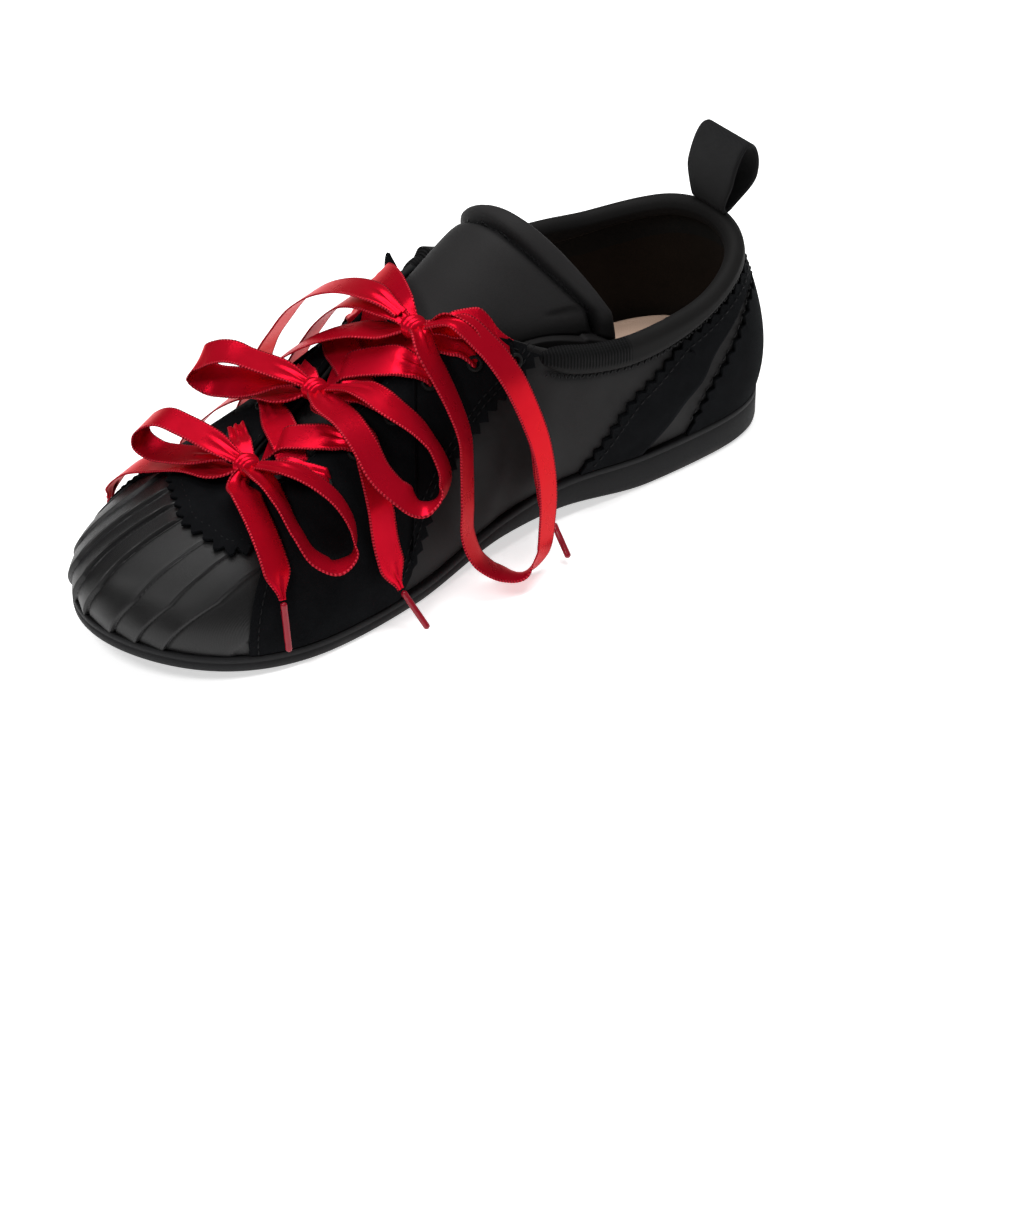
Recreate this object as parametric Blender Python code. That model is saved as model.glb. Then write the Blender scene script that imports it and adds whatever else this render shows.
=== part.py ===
"""A low right sneaker: pleated satin toe, suede overlays, three ribbon bows.

The toe points along -Y, the inner (medial) side is +X, the sole stands on Z = 0.
Sizes and tables are in millimetres of the drawn shoe: along is measured from the heel,
across is positive to the medial side, height is from the floor. SCALE makes them metres.
"""
import bpy
import bmesh
import numpy as np

# Driving sizes
LENGTH = 0.252
SCALE = LENGTH / 252.0
CENTRE_ALONG = 125.38
CENTRE_ACROSS = -1.165
WALL = 2.2
CLEARANCE = 0.35
ROUND_CLEARANCE = 0.55
VAMP_CLEARANCE = 0.8
SUEDE = 1.1
SATIN = 0.9
HEEL_HEIGHT = 12.0
FOREFOOT_HEIGHT = 5.5
TOE_SPRING = 9.0
ARCH_RISE = 4.0
SOLE_OVERHANG = 2.0
COLUMNS = 60
END_CROWDING = 0.35
UPPER_ROWS = 9
PLEATS = 12
PLEAT_STEP = 0.7
CAP_FOOT_UP = 0.022
COUNTER_FOOT_UP = 0.018
BINDING_DEPTH = 6.5
BINDING_PAD = 2.0
BINDING_ENDS = (-0.204, 0.206)
LOOP_WIDTH = 22.0
LOOP_FOOT = 0.72
LOOP_TAPER = (71.0, 83.0)
WEBBING = 1.5
EYELET_OUTER = 2.6
EYELET_BORE = 1.4
EYELET_HEIGHT = 0.7
EYELET_INSET = 8.3
RIBBON_WIDTH = 10.5
RIBBON_THICK = 0.7
STRAP_THICK = 0.8
GATHERED_WIDTH = 3.5
TIP_RADIUS = 1.1
KNOT_RADIUS = 4.6
KNOT_HALF = 3.2
KNOT_SEAT = 5.2
KNOT_WIDTH = 6.5
KNOT_LEVELS = {"loop_over": 2.5, "loop_under": 1.5, "end_over": 0.6, "gather": -1.1, "end_under": -2.4}
TIP_GAP = 0.7
STRAP_SEAT = 3.9
OPENING_RUN = 12.0
TUCKING_RUN = 7.0
STRAP_LIFT = 4.0
CROSSED_LIFT = 3.6
TUCK = 4.0
RISING_RUN = 6.0
GATHER_LIFT = 5.6
GATHER_FLAT = {"medial": 7.7, "lateral": 6.5}
UNFLATTENED = 0.1
LOOP_SECTIONS = 17
END_SECTIONS = 10
INSOLE_THICK = 3.4
HEEL_PAD = 6.0

# The last, one row for each section line round the shoe from the heel back by the
# medial side to the toe and home by the lateral side. Columns: along and across of
# the feather edge, outward lean of the wall in degrees, length of the lower handle,
# along, across and height of the crown, dip of the roof in degrees, upper handle.
LAST = np.array([
    [4, 0, 22, 27, 21, 0, 92, 84, 22],
    [13, 21, 19, 26, 25, 15, 92, 84, 22],
    [40, 29, 14, 26, 40, 24, 92, 82, 22],
    [75, 29.5, 18, 26, 68, 24, 92, 74, 22],
    [108, 29, 20, 26, 94, 17, 90, 60, 22],
    [138, 34, 15, 24, 115, 8, 82, 40, 22],
    [172, 41, 10, 23, 136, 2.5, 68, 22, 23],
    [206, 42, 12, 24, 151, 3, 58, 20, 28],
    [234, 31, 18, 26, 159, 4, 53.5, 22, 36],
    [249, 6, 20, 27, 163, 4, 51, 22.5, 41],
    [239, -20, 19, 26, 159, 3, 53.5, 22, 36],
    [214, -36, 14, 26, 151, 1, 58, 20, 28],
    [176, -45, 8, 22, 137, -4, 69, 28, 23],
    [140, -41.5, 8, 24, 116, -14, 86, 56, 23],
    [105, -36, 10, 25, 96, -24, 92, 76, 23],
    [72, -33, 12, 26, 68, -27, 92, 82, 22],
    [40, -30, 14, 26, 40, -24, 92, 82, 22],
    [13, -21, 19, 26, 25, -15, 92, 84, 22],
])

# Height of the cut edge of the upper. Columns: along, medial side, lateral side.
COLLAR = np.array([
    [-5, 72, 72],
    [8, 71, 71],
    [24, 64.5, 64.5],
    [40, 58.5, 62.5],
    [57, 56, 64],
    [78, 56, 66],
    [100, 61.5, 69.5],
    [112, 67.5, 76],
    [120, 70.5, 80],
    [135, 80, 88],
])

# The throat. Columns: along, across of its middle, half width.
THROAT = np.array([
    [100, -4.5, 26],
    [118, -3.5, 20.5],
    [130, -3, 16],
    [141, -2, 12.5],
    [157, 1, 10.5],
    [171, 3.5, 10],
    [184, 6.5, 9.5],
    [196, 8.5, 9.5],
])
THROAT_START = 108.0
THROAT_END = 194.0
THROAT_ROUND = 11.0
THROAT_SKEW = 0.2

# Edges of the overlays on the last. Columns: around, up.
VAMP_EDGE = np.array([
    [0.214, 0.600],
    [0.226, 0.540],
    [0.251, 0.485],
    [0.279, 0.394],
    [0.296, 0.294],
    [0.310, 0.112],
    [0.318, 0.010],
    [0.4105, 0.010],
    [0.4125, 0.150],
    [0.4165, 0.360],
    [0.4225, 0.450],
    [0.439, 0.440],
    [0.449, 0.456],
    [0.463, 0.500],
    [0.478, 0.520],
    [0.500, 0.560],
    [0.515, 0.560],
    [0.530, 0.550],
    [0.545, 0.530],
    [0.558, 0.480],
    [0.567, 0.400],
    [0.572, 0.300],
    [0.576, 0.180],
    [0.579, 0.080],
    [0.581, 0.010],
    [0.672, 0.010],
    [0.680, 0.112],
    [0.692, 0.294],
    [0.706, 0.394],
    [0.728, 0.485],
    [0.744, 0.560],
    [0.752, 0.600],
])
# Around of the two sides of the toe cap at the sole and at the vamp edge.
TOE_CAP_FOOT = (0.4122, 0.5785)
TOE_CAP_TOP = (0.4240, 0.5560)

# Edge of the heel counter. Columns: around, up.
COUNTER_EDGE = np.array([
    [0.0, 0.47],
    [0.030, 0.468],
    [0.051, 0.450],
    [0.065, 0.370],
    [0.078, 0.280],
    [0.096, 0.115],
    [0.103, 0.020],
])

# The suede band from the heel back down to the waist. Columns: around and up of the
# front edge, around and up of the rear edge.
BAND = np.array([
    [0.000, 0.700, 0.000, 0.510],
    [0.036, 0.715, 0.028, 0.508],
    [0.064, 0.700, 0.052, 0.496],
    [0.0895, 0.556, 0.0715, 0.420],
    [0.1075, 0.465, 0.0875, 0.342],
    [0.127, 0.378, 0.0965, 0.250],
    [0.1425, 0.310, 0.109, 0.185],
    [0.158, 0.212, 0.120, 0.110],
    [0.176, 0.055, 0.132, 0.040],
    [0.179, 0.010, 0.136, 0.010],
])

# The tongue. Columns: along, across and height of its middle line, half width, fall of
# the medial and lateral edge, sweep of the medial and lateral edge to the heel, thickness.
TONGUE = np.array([
    [204, 9.5, 35.6, 13, 2.2, 1.2, 0.5, 0.5, 3.0],
    [190, 7.5, 39.2, 15, 2.6, 1.4, 1, 1, 3.0],
    [171, 3.5, 45.6, 17, 3, 2.6, 1, 1, 3.5],
    [157, 1, 51.8, 18, 4, 5, 2, 2, 4.0],
    [141, -2, 61.2, 18.5, 5, 8, 3, 4, 4.5],
    [128, -3, 70.0, 19, 8, 10, 6, 6, 5.0],
    [115, -3, 79.3, 20, 14, 11, 12, 8, 5.5],
    [104, -3, 86.4, 21, 22, 13, 15, 7, 6.5],
    [95.5, -3, 91.0, 22, 29, 16, 17, 5, 6.5],
    [91.2, -3, 92.8, 22.5, 33, 18.5, 17.5, 4.5, 5.5],
])
TONGUE_WRAP = 75.0

# The form that the ribbons ride on. Columns: along, height of the ridge, fall at
# 20 mm on the medial and on the lateral side.
INSTEP = np.array([
    [205, 40.0, 3.7, 1.0],
    [195, 42.2, 3.5, 0.6],
    [184, 45.4, 3.6, 0.4],
    [171, 50.0, 3.2, 1.4],
    [157, 56.5, 3.7, 3.6],
    [141, 66.4, 5.2, 5.8],
    [128, 75.5, 7.0, 8.0],
    [116, 84.0, 8.5, 8.5],
])
EYELET_ROWS = (184.0, 171.0, 156.5, 142.5, 129.0, 118.0)
# Eyelet rows of each ribbon, counted from nought: the one that leads to the knot, the one that leads across.
LACED_ROWS = ((0, 1), (2, 3), (4, 5))
# Where the upper strap of each ribbon goes under the lateral eyestay. Columns: along, across.
BAR_ENDS = ((185.2, 0.5), (158.0, -6.0), (131.6, -15.9))
# Where the lower strap goes under the medial eyestay. Columns: along, across.
DIAGONAL_ENDS = ((182.8, 12.5), (155.1, 8.0), (126.4, 9.8))

# The three bows from the toe up. Each strand has directions of the ribbon's width, set evenly
# along it, and the points of its middle line, all as along, across and height. A tip has its far end.
BOWS = (
    {
        "knot": (196.5, 8, 48),
        "loop_medial": (((0.60, 0.78, 0.17),), (
            (195, 14.5, 52), (191.5, 22, 52.5), (187, 30, 50), (183, 37, 44),
            (182, 41.5, 37), (185, 45, 32), (191, 45.5, 30.5), (196, 42.5, 33.5),
            (198, 36, 40), (198, 28, 46), (197.5, 20, 49), (197.5, 14.5, 49))),
        "loop_lateral": (((0.874, 0.486, 0.0),), (
            (200, 0.5, 49), (204, -6, 47), (208, -14, 45), (211, -20, 44.5), (213, -23.5, 47),
            (213, -23.5, 51), (211, -20.5, 55), (209, -16.5, 57), (206, -11, 56), (200, 0.5, 52.5))),
        "end_medial": (((0.95, 0.08, 0.20),), (
            (202.5, 12.5, 46), (204, 19.3, 46), (205.5, 27, 43), (206.5, 33, 39),
            (207.5, 39.2, 32.5), (208.5, 43.6, 25))),
        "tip_medial": (209.5, 47, 9),
        "end_lateral": (((1.0, 0.4, 0.0),), (
            (202, 2.5, 46), (206, -9, 43.5), (210.5, -19.5, 39.5), (214, -28.5, 35),
            (216, -35, 28), (217, -38.5, 20))),
        "tip_lateral": (218, -40, 5),
    },
    {
        "knot": (166.5, 0, 58.8),
        "loop_medial": (((0.97, 0.15, 0.10), (0.97, 0.15, 0.10), (0.72, 0.62, 0.30), (0.82, 0.50, 0.28),
                         (0.93, 0.28, 0.15), (0.95, 0.22, 0.12), (0.97, 0.20, 0.10)), (
            (164, 6.5, 61.5), (159.5, 15, 64), (155.5, 25, 60.5), (151, 32, 55), (148.5, 37.5, 48),
            (148.5, 40.8, 42), (152.5, 43, 38), (158.5, 43.5, 38), (165.5, 42, 43.5), (169, 37, 49),
            (169.5, 29.5, 56), (169.5, 21, 60), (169.5, 13, 60.5), (169, 6.5, 60))),
        "loop_lateral": (((0.828, 0.56, 0.0), (0.70, 0.30, -0.50), (0.70, 0.30, -0.50), (0.828, 0.56, 0.0),
                          (0.828, 0.56, 0.0)), (
            (169.5, -6, 60), (175, -14, 58), (181.5, -23, 55.5), (185, -28.8, 55.2), (187, -32, 57.5),
            (187, -31.5, 61), (185, -28.3, 64.2), (182, -24, 66), (177, -16, 65), (169.5, -6, 63.5))),
        "end_medial": (((0.93, 0.12, 0.34),), (
            (168.5, 6.5, 56.5), (168.5, 13.5, 57.5), (166.3, 24, 55.3), (168.3, 31.5, 48),
            (169.6, 37.3, 38.5), (171, 42, 28), (170.5, 45.5, 19), (169.5, 47, 14))),
        "tip_medial": (165, 54, 1.8),
        "end_lateral": (((1.0, 0.4, 0.0),), (
            (171.0, -4.5, 56.5), (176, -18, 53), (180, -27, 46.5), (183, -34, 39), (185, -40.5, 31),
            (186, -46, 22))),
        "tip_lateral": (186.5, -49.5, 7),
    },
    {
        "knot": (137.5, 10.5, 75),
        "loop_medial": (((0.93, 0.35, 0.10), (0.93, 0.35, 0.10), (0.90, 0.40, 0.20), (0.78, 0.50, 0.37),
                         (0.78, 0.50, 0.37), (0.93, 0.35, 0.10)), (
            (136, 17.5, 80), (131, 23, 80.5), (125.5, 30, 74), (121, 36, 64.5), (117, 40, 52),
            (114.5, 43, 40), (114.5, 46, 28.5), (116.5, 48.5, 16.5), (120, 50.5, 8), (127, 51, 4.5),
            (135, 49.5, 7), (141, 47, 13), (143.5, 45, 21.5), (142.5, 43.5, 31), (140, 40, 40.5),
            (138, 36.5, 49), (138.5, 32, 58), (140, 27, 66.5), (141, 22.5, 72.5), (139.5, 17, 75.5))),
        "loop_lateral": (((0.95, 0.30, 0.0),), (
            (139, 4, 79.5), (141, -5, 80.5), (143, -15, 79), (146, -24, 75), (149, -33.5, 67),
            (151, -41.5, 56), (153, -48, 44.5), (153.5, -50.5, 35), (152.5, -48, 28.5), (151, -44, 31),
            (149.5, -40, 39), (148.5, -36, 47), (147, -31, 55.5), (145.5, -24, 65.5), (143.5, -14.5, 74.3),
            (139, 4, 76.5))),
        "end_medial": (((1.0, 0.0, 0.0),), (
            (131.0, 14.5, 77), (129.0, 16.5, 78.6), (124.0, 23.0, 76.5), (120.5, 30, 65),
            (115.5, 34.5, 52), (111.5, 37, 37.5), (110, 38, 24), (109, 39.5, 13.5), (108.6, 41, 10))),
        "tip_medial": (110, 51, 2.6),
        "end_lateral": (((1.0, 0.4, 0.0),), (
            (140.3, 5.7, 74.5), (148.5, -5, 70.5), (154, -16.5, 64), (158.5, -27, 55), (161.5, -35, 46),
            (163.5, -42, 35), (164.5, -46.5, 24))),
        "tip_lateral": (165, -49.5, 9),
    },
)

# Middle line of the webbing pull loop in the plane of the heel. Columns: along, height.
PULL_LOOP = np.array([
    [14.5, 71.2],
    [15.8, 77.5],
    [14.8, 84.0],
    [12.4, 90.5],
    [8.8, 93.8],
    [5.6, 90.8],
    [5.0, 84.5],
    [8.2, 77.0],
])

COLOURS = {
    "rubber": ((0.030, 0.031, 0.034), 0.60),
    "leather": ((0.550, 0.330, 0.200), 0.55),
    "neoprene": ((0.022, 0.022, 0.024), 0.80),
    "satin": ((0.016, 0.016, 0.018), 0.40),
    "suede": ((0.008, 0.009, 0.012), 0.95),
    "webbing": ((0.010, 0.010, 0.011), 0.75),
    "metal": ((0.300, 0.290, 0.270), 0.35),
    "ribbon": ((0.420, 0.012, 0.030), 0.35),
    "tip": ((0.330, 0.020, 0.030), 0.20),
}


def clear_scene():
    for item in list(bpy.data.objects):
        bpy.data.objects.remove(item, do_unlink=True)


def closed_spline(knots, values, at):
    """Smooth periodic cubic with period one through the rows of values."""
    count = len(knots)
    step = np.diff(np.append(knots, knots[0] + 1.0))
    rise = (np.roll(values, -1, 0) - values) / step[:, None]
    before = np.roll(step, 1)
    index = np.arange(count)
    matrix = np.zeros((count, count))
    matrix[index, index - 1] = before
    matrix[index, index] = 2 * (before + step)
    matrix[index, (index + 1) % count] = step
    bend = np.linalg.solve(matrix, 6 * (rise - np.roll(rise, 1, 0)))
    at = np.mod(at, 1.0)
    i = np.clip(np.searchsorted(knots, at, side="right") - 1, 0, count - 1)
    j = (i + 1) % count
    u = (at - knots[i])[..., None]
    h = step[i][..., None]
    first = rise[i] - h * (2 * bend[i] + bend[j]) / 6
    return values[i] + u * first + u ** 2 * bend[i] / 2 + u ** 3 * (bend[j] - bend[i]) / (6 * h)


def open_spline(table, at):
    """Smooth curve through the rows of a table, its first column the parameter."""
    table = table[np.argsort(table[:, 0])]
    knots, values = table[:, 0], table[:, 1:]
    slope = np.gradient(values, knots, axis=0)
    at = np.clip(np.asarray(at, float), knots[0], knots[-1])
    i = np.clip(np.searchsorted(knots, at, side="right") - 1, 0, len(knots) - 2)
    h = (knots[i + 1] - knots[i])[..., None]
    t = (at - knots[i])[..., None] / h
    lead = (1 + 2 * t) * (1 - t) ** 2 * values[i] + t * (1 - t) ** 2 * h * slope[i]
    tail = t * t * (3 - 2 * t) * values[i + 1] + t * t * (t - 1) * h * slope[i + 1]
    return lead + tail


def ease(value, low, high):
    share = np.clip((value - low) / (high - low), 0, 1)
    return share * share * (3 - 2 * share)


def sole_bottom(along):
    spring = TOE_SPRING * (np.clip(along - 190, 0, None) / 62) ** 2
    arch = ARCH_RISE * ease(along, 62, 100) * (1 - ease(along, 120, 160))
    return spring + arch


def sole_top(along):
    return sole_bottom(along) + HEEL_HEIGHT + (FOREFOOT_HEIGHT - HEEL_HEIGHT) * ease(along, 60, 150)


def last_knots():
    gap = np.linalg.norm(np.roll(LAST[:, :2], -1, 0) - LAST[:, :2], axis=1)
    run = np.concatenate([[0], np.cumsum(gap)])
    return run[:-1] / run[-1]


KNOTS = last_knots()


def place(points):
    """Metres of the frame from rows of along, across and height."""
    along, across, height = points[:, 0], points[:, 1], points[:, 2]
    return np.stack([across - CENTRE_ACROSS, CENTRE_ALONG - along, height], -1) * SCALE


def outline(around, grow=0.0):
    """Along and across of the feather edge, moved outward by grow."""
    row = closed_spline(KNOTS, LAST[:, :2], around)
    ahead = closed_spline(KNOTS, LAST[:, :2], around + 0.0005)
    behind = closed_spline(KNOTS, LAST[:, :2], around - 0.0005)
    run = ahead - behind
    run = run / np.linalg.norm(run, axis=-1, keepdims=True)
    out = np.stack([-run[..., 1], run[..., 0]], -1)
    return row + grow * out, out


def last_point(around, up):
    """Point of the last: a cubic from the feather edge up to the crown."""
    around, up = np.broadcast_arrays(np.asarray(around, float), np.asarray(up, float))
    row = closed_spline(KNOTS, LAST, around)
    edge, out = outline(around)
    lean = np.radians(row[..., 2:3])
    dip = np.radians(row[..., 7:8])
    start = np.concatenate([edge, sole_top(edge[..., :1])], -1)
    crown = row[..., 4:7]
    lower = np.concatenate([np.sin(lean) * out, np.cos(lean)], -1) * row[..., 3:4]
    away = edge - crown[..., :2]
    away = away / np.linalg.norm(away, axis=-1, keepdims=True)
    upper = np.concatenate([np.cos(dip) * away, -np.sin(dip)], -1) * row[..., 8:9]
    t = up[..., None]
    return ((1 - t) ** 3 * start + 3 * t * (1 - t) ** 2 * (start + lower)
            + 3 * t * t * (1 - t) * (crown + upper) + t ** 3 * crown)


def skin(around, up, lift=0.0):
    """Point of the last moved along its outward normal."""
    point = last_point(around, up)
    rise = last_point(around, up + 0.002) - last_point(around, up - 0.002)
    run = last_point(around + 0.0005, up) - last_point(around - 0.0005, up)
    normal = np.cross(rise, run)
    normal = normal / np.linalg.norm(normal, axis=-1, keepdims=True)
    return point + np.asarray(lift)[..., None] * normal


def opening(around, up):
    """Above zero inside the collar mouth or the throat."""
    along, across, height = np.moveaxis(last_point(around, up), -1, 0)
    edge = open_spline(COLLAR, along)
    side = 0.5 + 0.5 * np.tanh(across / 8)
    mouth = height - (side * edge[..., 0] + (1 - side) * edge[..., 1])
    throat = open_spline(THROAT, along)
    past = np.clip((along - THROAT_END + THROAT_ROUND) / THROAT_ROUND, 0, 1)
    slot = throat[..., 1] * np.sqrt(1 - past ** 2) - np.abs(across - throat[..., 0])
    slot = np.where((along > THROAT_START) & (along < THROAT_END), slot, -1.0)
    return mouth, slot


SEARCH = np.linspace(0.3, 1.0, 281)


def rim(around):
    """Share of the way up each section line at which the upper is cut off."""
    around = np.atleast_1d(np.asarray(around, float))
    mouth, slot = opening(around[:, None], SEARCH[None, :])
    inside = np.maximum(mouth, slot)
    first = np.argmax(inside > 0, axis=1)
    pick = np.arange(len(around))
    low, high = inside[pick, first - 1], inside[pick, first]
    return SEARCH[first - 1] + (SEARCH[1] - SEARCH[0]) * low / (low - high)


def by_throat(around):
    """True where the cut edge of a section line lies on the throat and not on the collar."""
    mouth, slot = opening(around, rim(around)[0] + 0.003)
    return slot > mouth


def corner(low, high):
    """Where the collar edge turns into the throat edge, by halving."""
    start = by_throat(np.array(low))
    for _ in range(24):
        middle = 0.5 * (low + high)
        if by_throat(np.array(middle)) == start:
            low = middle
        else:
            high = middle
    return 0.5 * (low + high)


MEDIAL_CORNER = corner(0.20, 0.33)
LATERAL_CORNER = corner(0.80, 0.66)


def share_of(around, up, distance):
    """Change of up that moves a point by a distance in millimetres along its line."""
    pace = last_point(around, up + 0.005) - last_point(around, up - 0.005)
    return distance * 0.01 / np.linalg.norm(pace, axis=-1)


def add_object(name, points, faces, material):
    mesh = bpy.data.meshes.new(name)
    mesh.from_pydata(place(points).tolist(), [], faces)
    shape = bmesh.new()
    shape.from_mesh(mesh)
    bmesh.ops.recalc_face_normals(shape, faces=shape.faces)
    bmesh.ops.triangulate(shape, faces=shape.faces, quad_method="SHORT_EDGE")
    shape.to_mesh(mesh)
    shape.free()
    mesh.materials.append(material)
    item = bpy.data.objects.new(name, mesh)
    bpy.context.collection.objects.link(item)
    return item


def make_material(name, kind):
    colour, rough = COLOURS[kind]
    material = bpy.data.materials.new(name)
    material.use_nodes = True
    shader = material.node_tree.nodes["Principled BSDF"]
    shader.inputs["Base Color"].default_value = (*colour, 1)
    shader.inputs["Roughness"].default_value = rough
    return material


def quads(index):
    """Faces between the neighbouring rows and columns of a grid of point numbers."""
    corners = (index[:-1, :-1], index[:-1, 1:], index[1:, 1:], index[1:, :-1])
    return np.stack(corners, -1).reshape(-1, 4).tolist()


def sheet(name, outer, inner, kind):
    """Closed solid between two open grids of the same size."""
    rows, columns = outer.shape[:2]
    index = np.arange(rows * columns).reshape(rows, columns)
    border = np.concatenate([index[0], index[1:, -1], index[-1, -2::-1], index[-2:0:-1, 0]])
    wall = np.stack([np.append(border, border[0]), np.append(border, border[0]) + rows * columns])
    faces = quads(index) + quads(index + rows * columns) + quads(wall)
    points = np.concatenate([outer.reshape(-1, 3), inner.reshape(-1, 3)])
    return add_object(name, points, faces, make_material(name, kind))


def ring_solid(name, rings, kind):
    """Solid from a closed section carried round a closed loop: rings by columns."""
    count, columns = rings.shape[:2]
    index = np.arange(count * columns).reshape(count, columns)
    index = np.concatenate([index, index[:1]])
    index = np.concatenate([index, index[:, :1]], 1)
    return add_object(name, rings.reshape(-1, 3), quads(index), make_material(name, kind))


def run_solid(name, sections, kind):
    """Solid from a closed section carried along an open path: sections by points."""
    count, size = sections.shape[:2]
    index = np.arange(count * size).reshape(count, size)
    faces = quads(np.concatenate([index, index[:, :1]], 1))
    faces.append(index[0].tolist())
    faces.append(index[-1].tolist())
    return add_object(name, sections.reshape(-1, 3), faces, make_material(name, kind))


def plate(name, rings, kind):
    """Solid from rings of one outline, closed across at its first and last ring."""
    count, columns = rings.shape[:2]
    index = np.arange(count * columns).reshape(count, columns)
    faces = quads(np.concatenate([index, index[:, :1]], 1))
    half = columns // 2
    for ring in (index[0].tolist(), index[-1].tolist()):
        faces.append([ring[0], ring[1], ring[-1]])
        for k in range(1, half - 1):
            faces.append([ring[k], ring[k + 1], ring[-k - 1], ring[-k]])
        faces.append([ring[half - 1], ring[half], ring[half + 1]])
    return add_object(name, rings.reshape(-1, 3), faces, make_material(name, kind))


def column_angles():
    """Steps round the shoe, closer at heel and toe, two of them at the throat corners."""
    even = np.arange(COLUMNS) / COLUMNS
    around = even - END_CROWDING * np.sin(4 * np.pi * even) / (4 * np.pi)
    for angle in (MEDIAL_CORNER, LATERAL_CORNER):
        around[np.argmin(np.abs(around - angle))] = angle
    return around


AROUND = column_angles()


def level_ring(grow, height):
    """Ring at a distance from the feather edge, its height a function of along."""
    edge, _ = outline(AROUND, grow)
    return np.column_stack([edge, height(edge[:, 0])])


def build_outsole():
    """Rubber sole: side band with a rounded foot and a bevelled top edge."""
    rings = [
        level_ring(1.4, sole_top),
        level_ring(SOLE_OVERHANG, lambda along: sole_top(along) - 0.7),
        level_ring(SOLE_OVERHANG, lambda along: sole_bottom(along) + 1.6),
        level_ring(1.2, lambda along: sole_bottom(along) + 0.4),
        level_ring(0.2, sole_bottom),
    ]
    plate("outsole", np.array(rings), "rubber")


def insole_level(share):
    """Height of the insole, thicker under the heel."""
    def height(along):
        thick = INSOLE_THICK + HEEL_PAD * (1 - ease(along, 60, 130))
        return sole_top(along) + CLEARANCE + share * thick
    return height


def build_insole():
    """Leather sock with a padded heel, its edge inside the wall of the upper."""
    profile = ((-3.6, 0.0), (-3.2, 0.5), (-3.2, 0.85), (-4.4, 1.0))
    rings = [level_ring(grow, insole_level(share)) for grow, share in profile]
    plate("insole", np.array(rings), "leather")


def build_upper():
    """Hollow wall from the feather edge to the collar and the throat."""
    top = rim(AROUND)
    share = np.linspace(0, 1, UPPER_ROWS)[:, None]
    up = 0.004 + share * (top[None, :] - 0.004)
    around = np.broadcast_to(AROUND, up.shape)
    outer = skin(around, up, np.zeros(up.shape))
    inner = skin(around, up, np.full(up.shape, -WALL))
    ring_solid("upper", np.concatenate([outer, inner[::-1]]), "neoprene")


def overlay(name, around, up, clearance, thick, kind):
    """Sheet on the last between two lifts."""
    base = np.full(up.shape, clearance)
    return sheet(name, skin(around, up, base + thick), skin(around, up, base), kind)


def build_toe_cap():
    """Satin cap with one-way knife pleats that fan from the vamp edge to the sole."""
    share = np.linspace(0, 1, 3 * PLEATS + 1)
    fold = np.mod(share * PLEATS, 1.0)
    fold[-1] = 1.0
    low = TOE_CAP_FOOT[0] + (TOE_CAP_FOOT[1] - TOE_CAP_FOOT[0]) * share
    high = TOE_CAP_TOP[0] + (TOE_CAP_TOP[1] - TOE_CAP_TOP[0]) * share
    top = np.interp(high, VAMP_EDGE[:, 0], VAMP_EDGE[:, 1])
    top = top - share_of(high, top, 1.2)
    rows = np.linspace(0, 1, 6)[:, None]
    up = CAP_FOOT_UP + rows * (top[None, :] - CAP_FOOT_UP)
    around = low + rows ** 2 * (high - low)
    thick = SATIN + PLEAT_STEP * np.broadcast_to(fold, up.shape)
    overlay("toe_cap", around, up, ROUND_CLEARANCE, thick, "satin")


def build_vamp():
    """Suede vamp and eyestays in one, from one rear edge to the other."""
    knots = VAMP_EDGE[:, 0]
    apart = np.min(np.abs(AROUND[:, None] - knots[None, :]), axis=1) > 0.006
    between = AROUND[apart & (AROUND > knots[0]) & (AROUND < knots[-1])]
    around = np.sort(np.concatenate([knots, between]))
    top = rim(around)
    top = top - share_of(around, top, 0.4)
    low = np.minimum(np.interp(around, knots, VAMP_EDGE[:, 1]), top - 0.03)
    rows = np.linspace(0, 1, 7)[:, None]
    up = low[None, :] + rows * (top - low)[None, :]
    overlay("vamp", np.broadcast_to(around, up.shape), up, VAMP_CLEARANCE, SUEDE, "suede")


def build_quarter_band():
    """Suede band round the heel under the collar and down to the waist each side."""
    rows = np.concatenate([BAND[::-1], BAND[1:] * np.array([-1, 1, -1, 1])])
    step = np.arange(len(rows), dtype=float)
    rows = open_spline(np.column_stack([step, rows]), np.linspace(0, step[-1], 2 * len(rows) + 1))
    front, front_up, rear, rear_up = rows.T
    limit = rim(np.mod(front, 1.0))
    limit = limit - share_of(front, limit, BINDING_DEPTH + 1.0)
    front_up = np.clip(front_up, 0.02, limit)
    rear_up = np.clip(rear_up, 0.02, 1)
    share = np.linspace(0, 1, 4)[:, None]
    around = front + share * (rear - front)
    up = front_up + share * (rear_up - front_up)
    overlay("quarter_band", around, up, ROUND_CLEARANCE, SUEDE, "suede")


def build_counter():
    """Suede heel counter, lowest at its two ends."""
    reach = COUNTER_EDGE[-1, 0]
    around = np.linspace(-reach, reach, 25)
    top = open_spline(COUNTER_EDGE, np.abs(around))[:, 0]
    rows = np.linspace(0, 1, 5)[:, None]
    up = COUNTER_FOOT_UP + rows * (np.maximum(top, 0.03) - COUNTER_FOOT_UP)[None, :]
    overlay("heel_counter", np.broadcast_to(around, up.shape), up, ROUND_CLEARANCE, SUEDE, "suede")


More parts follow.
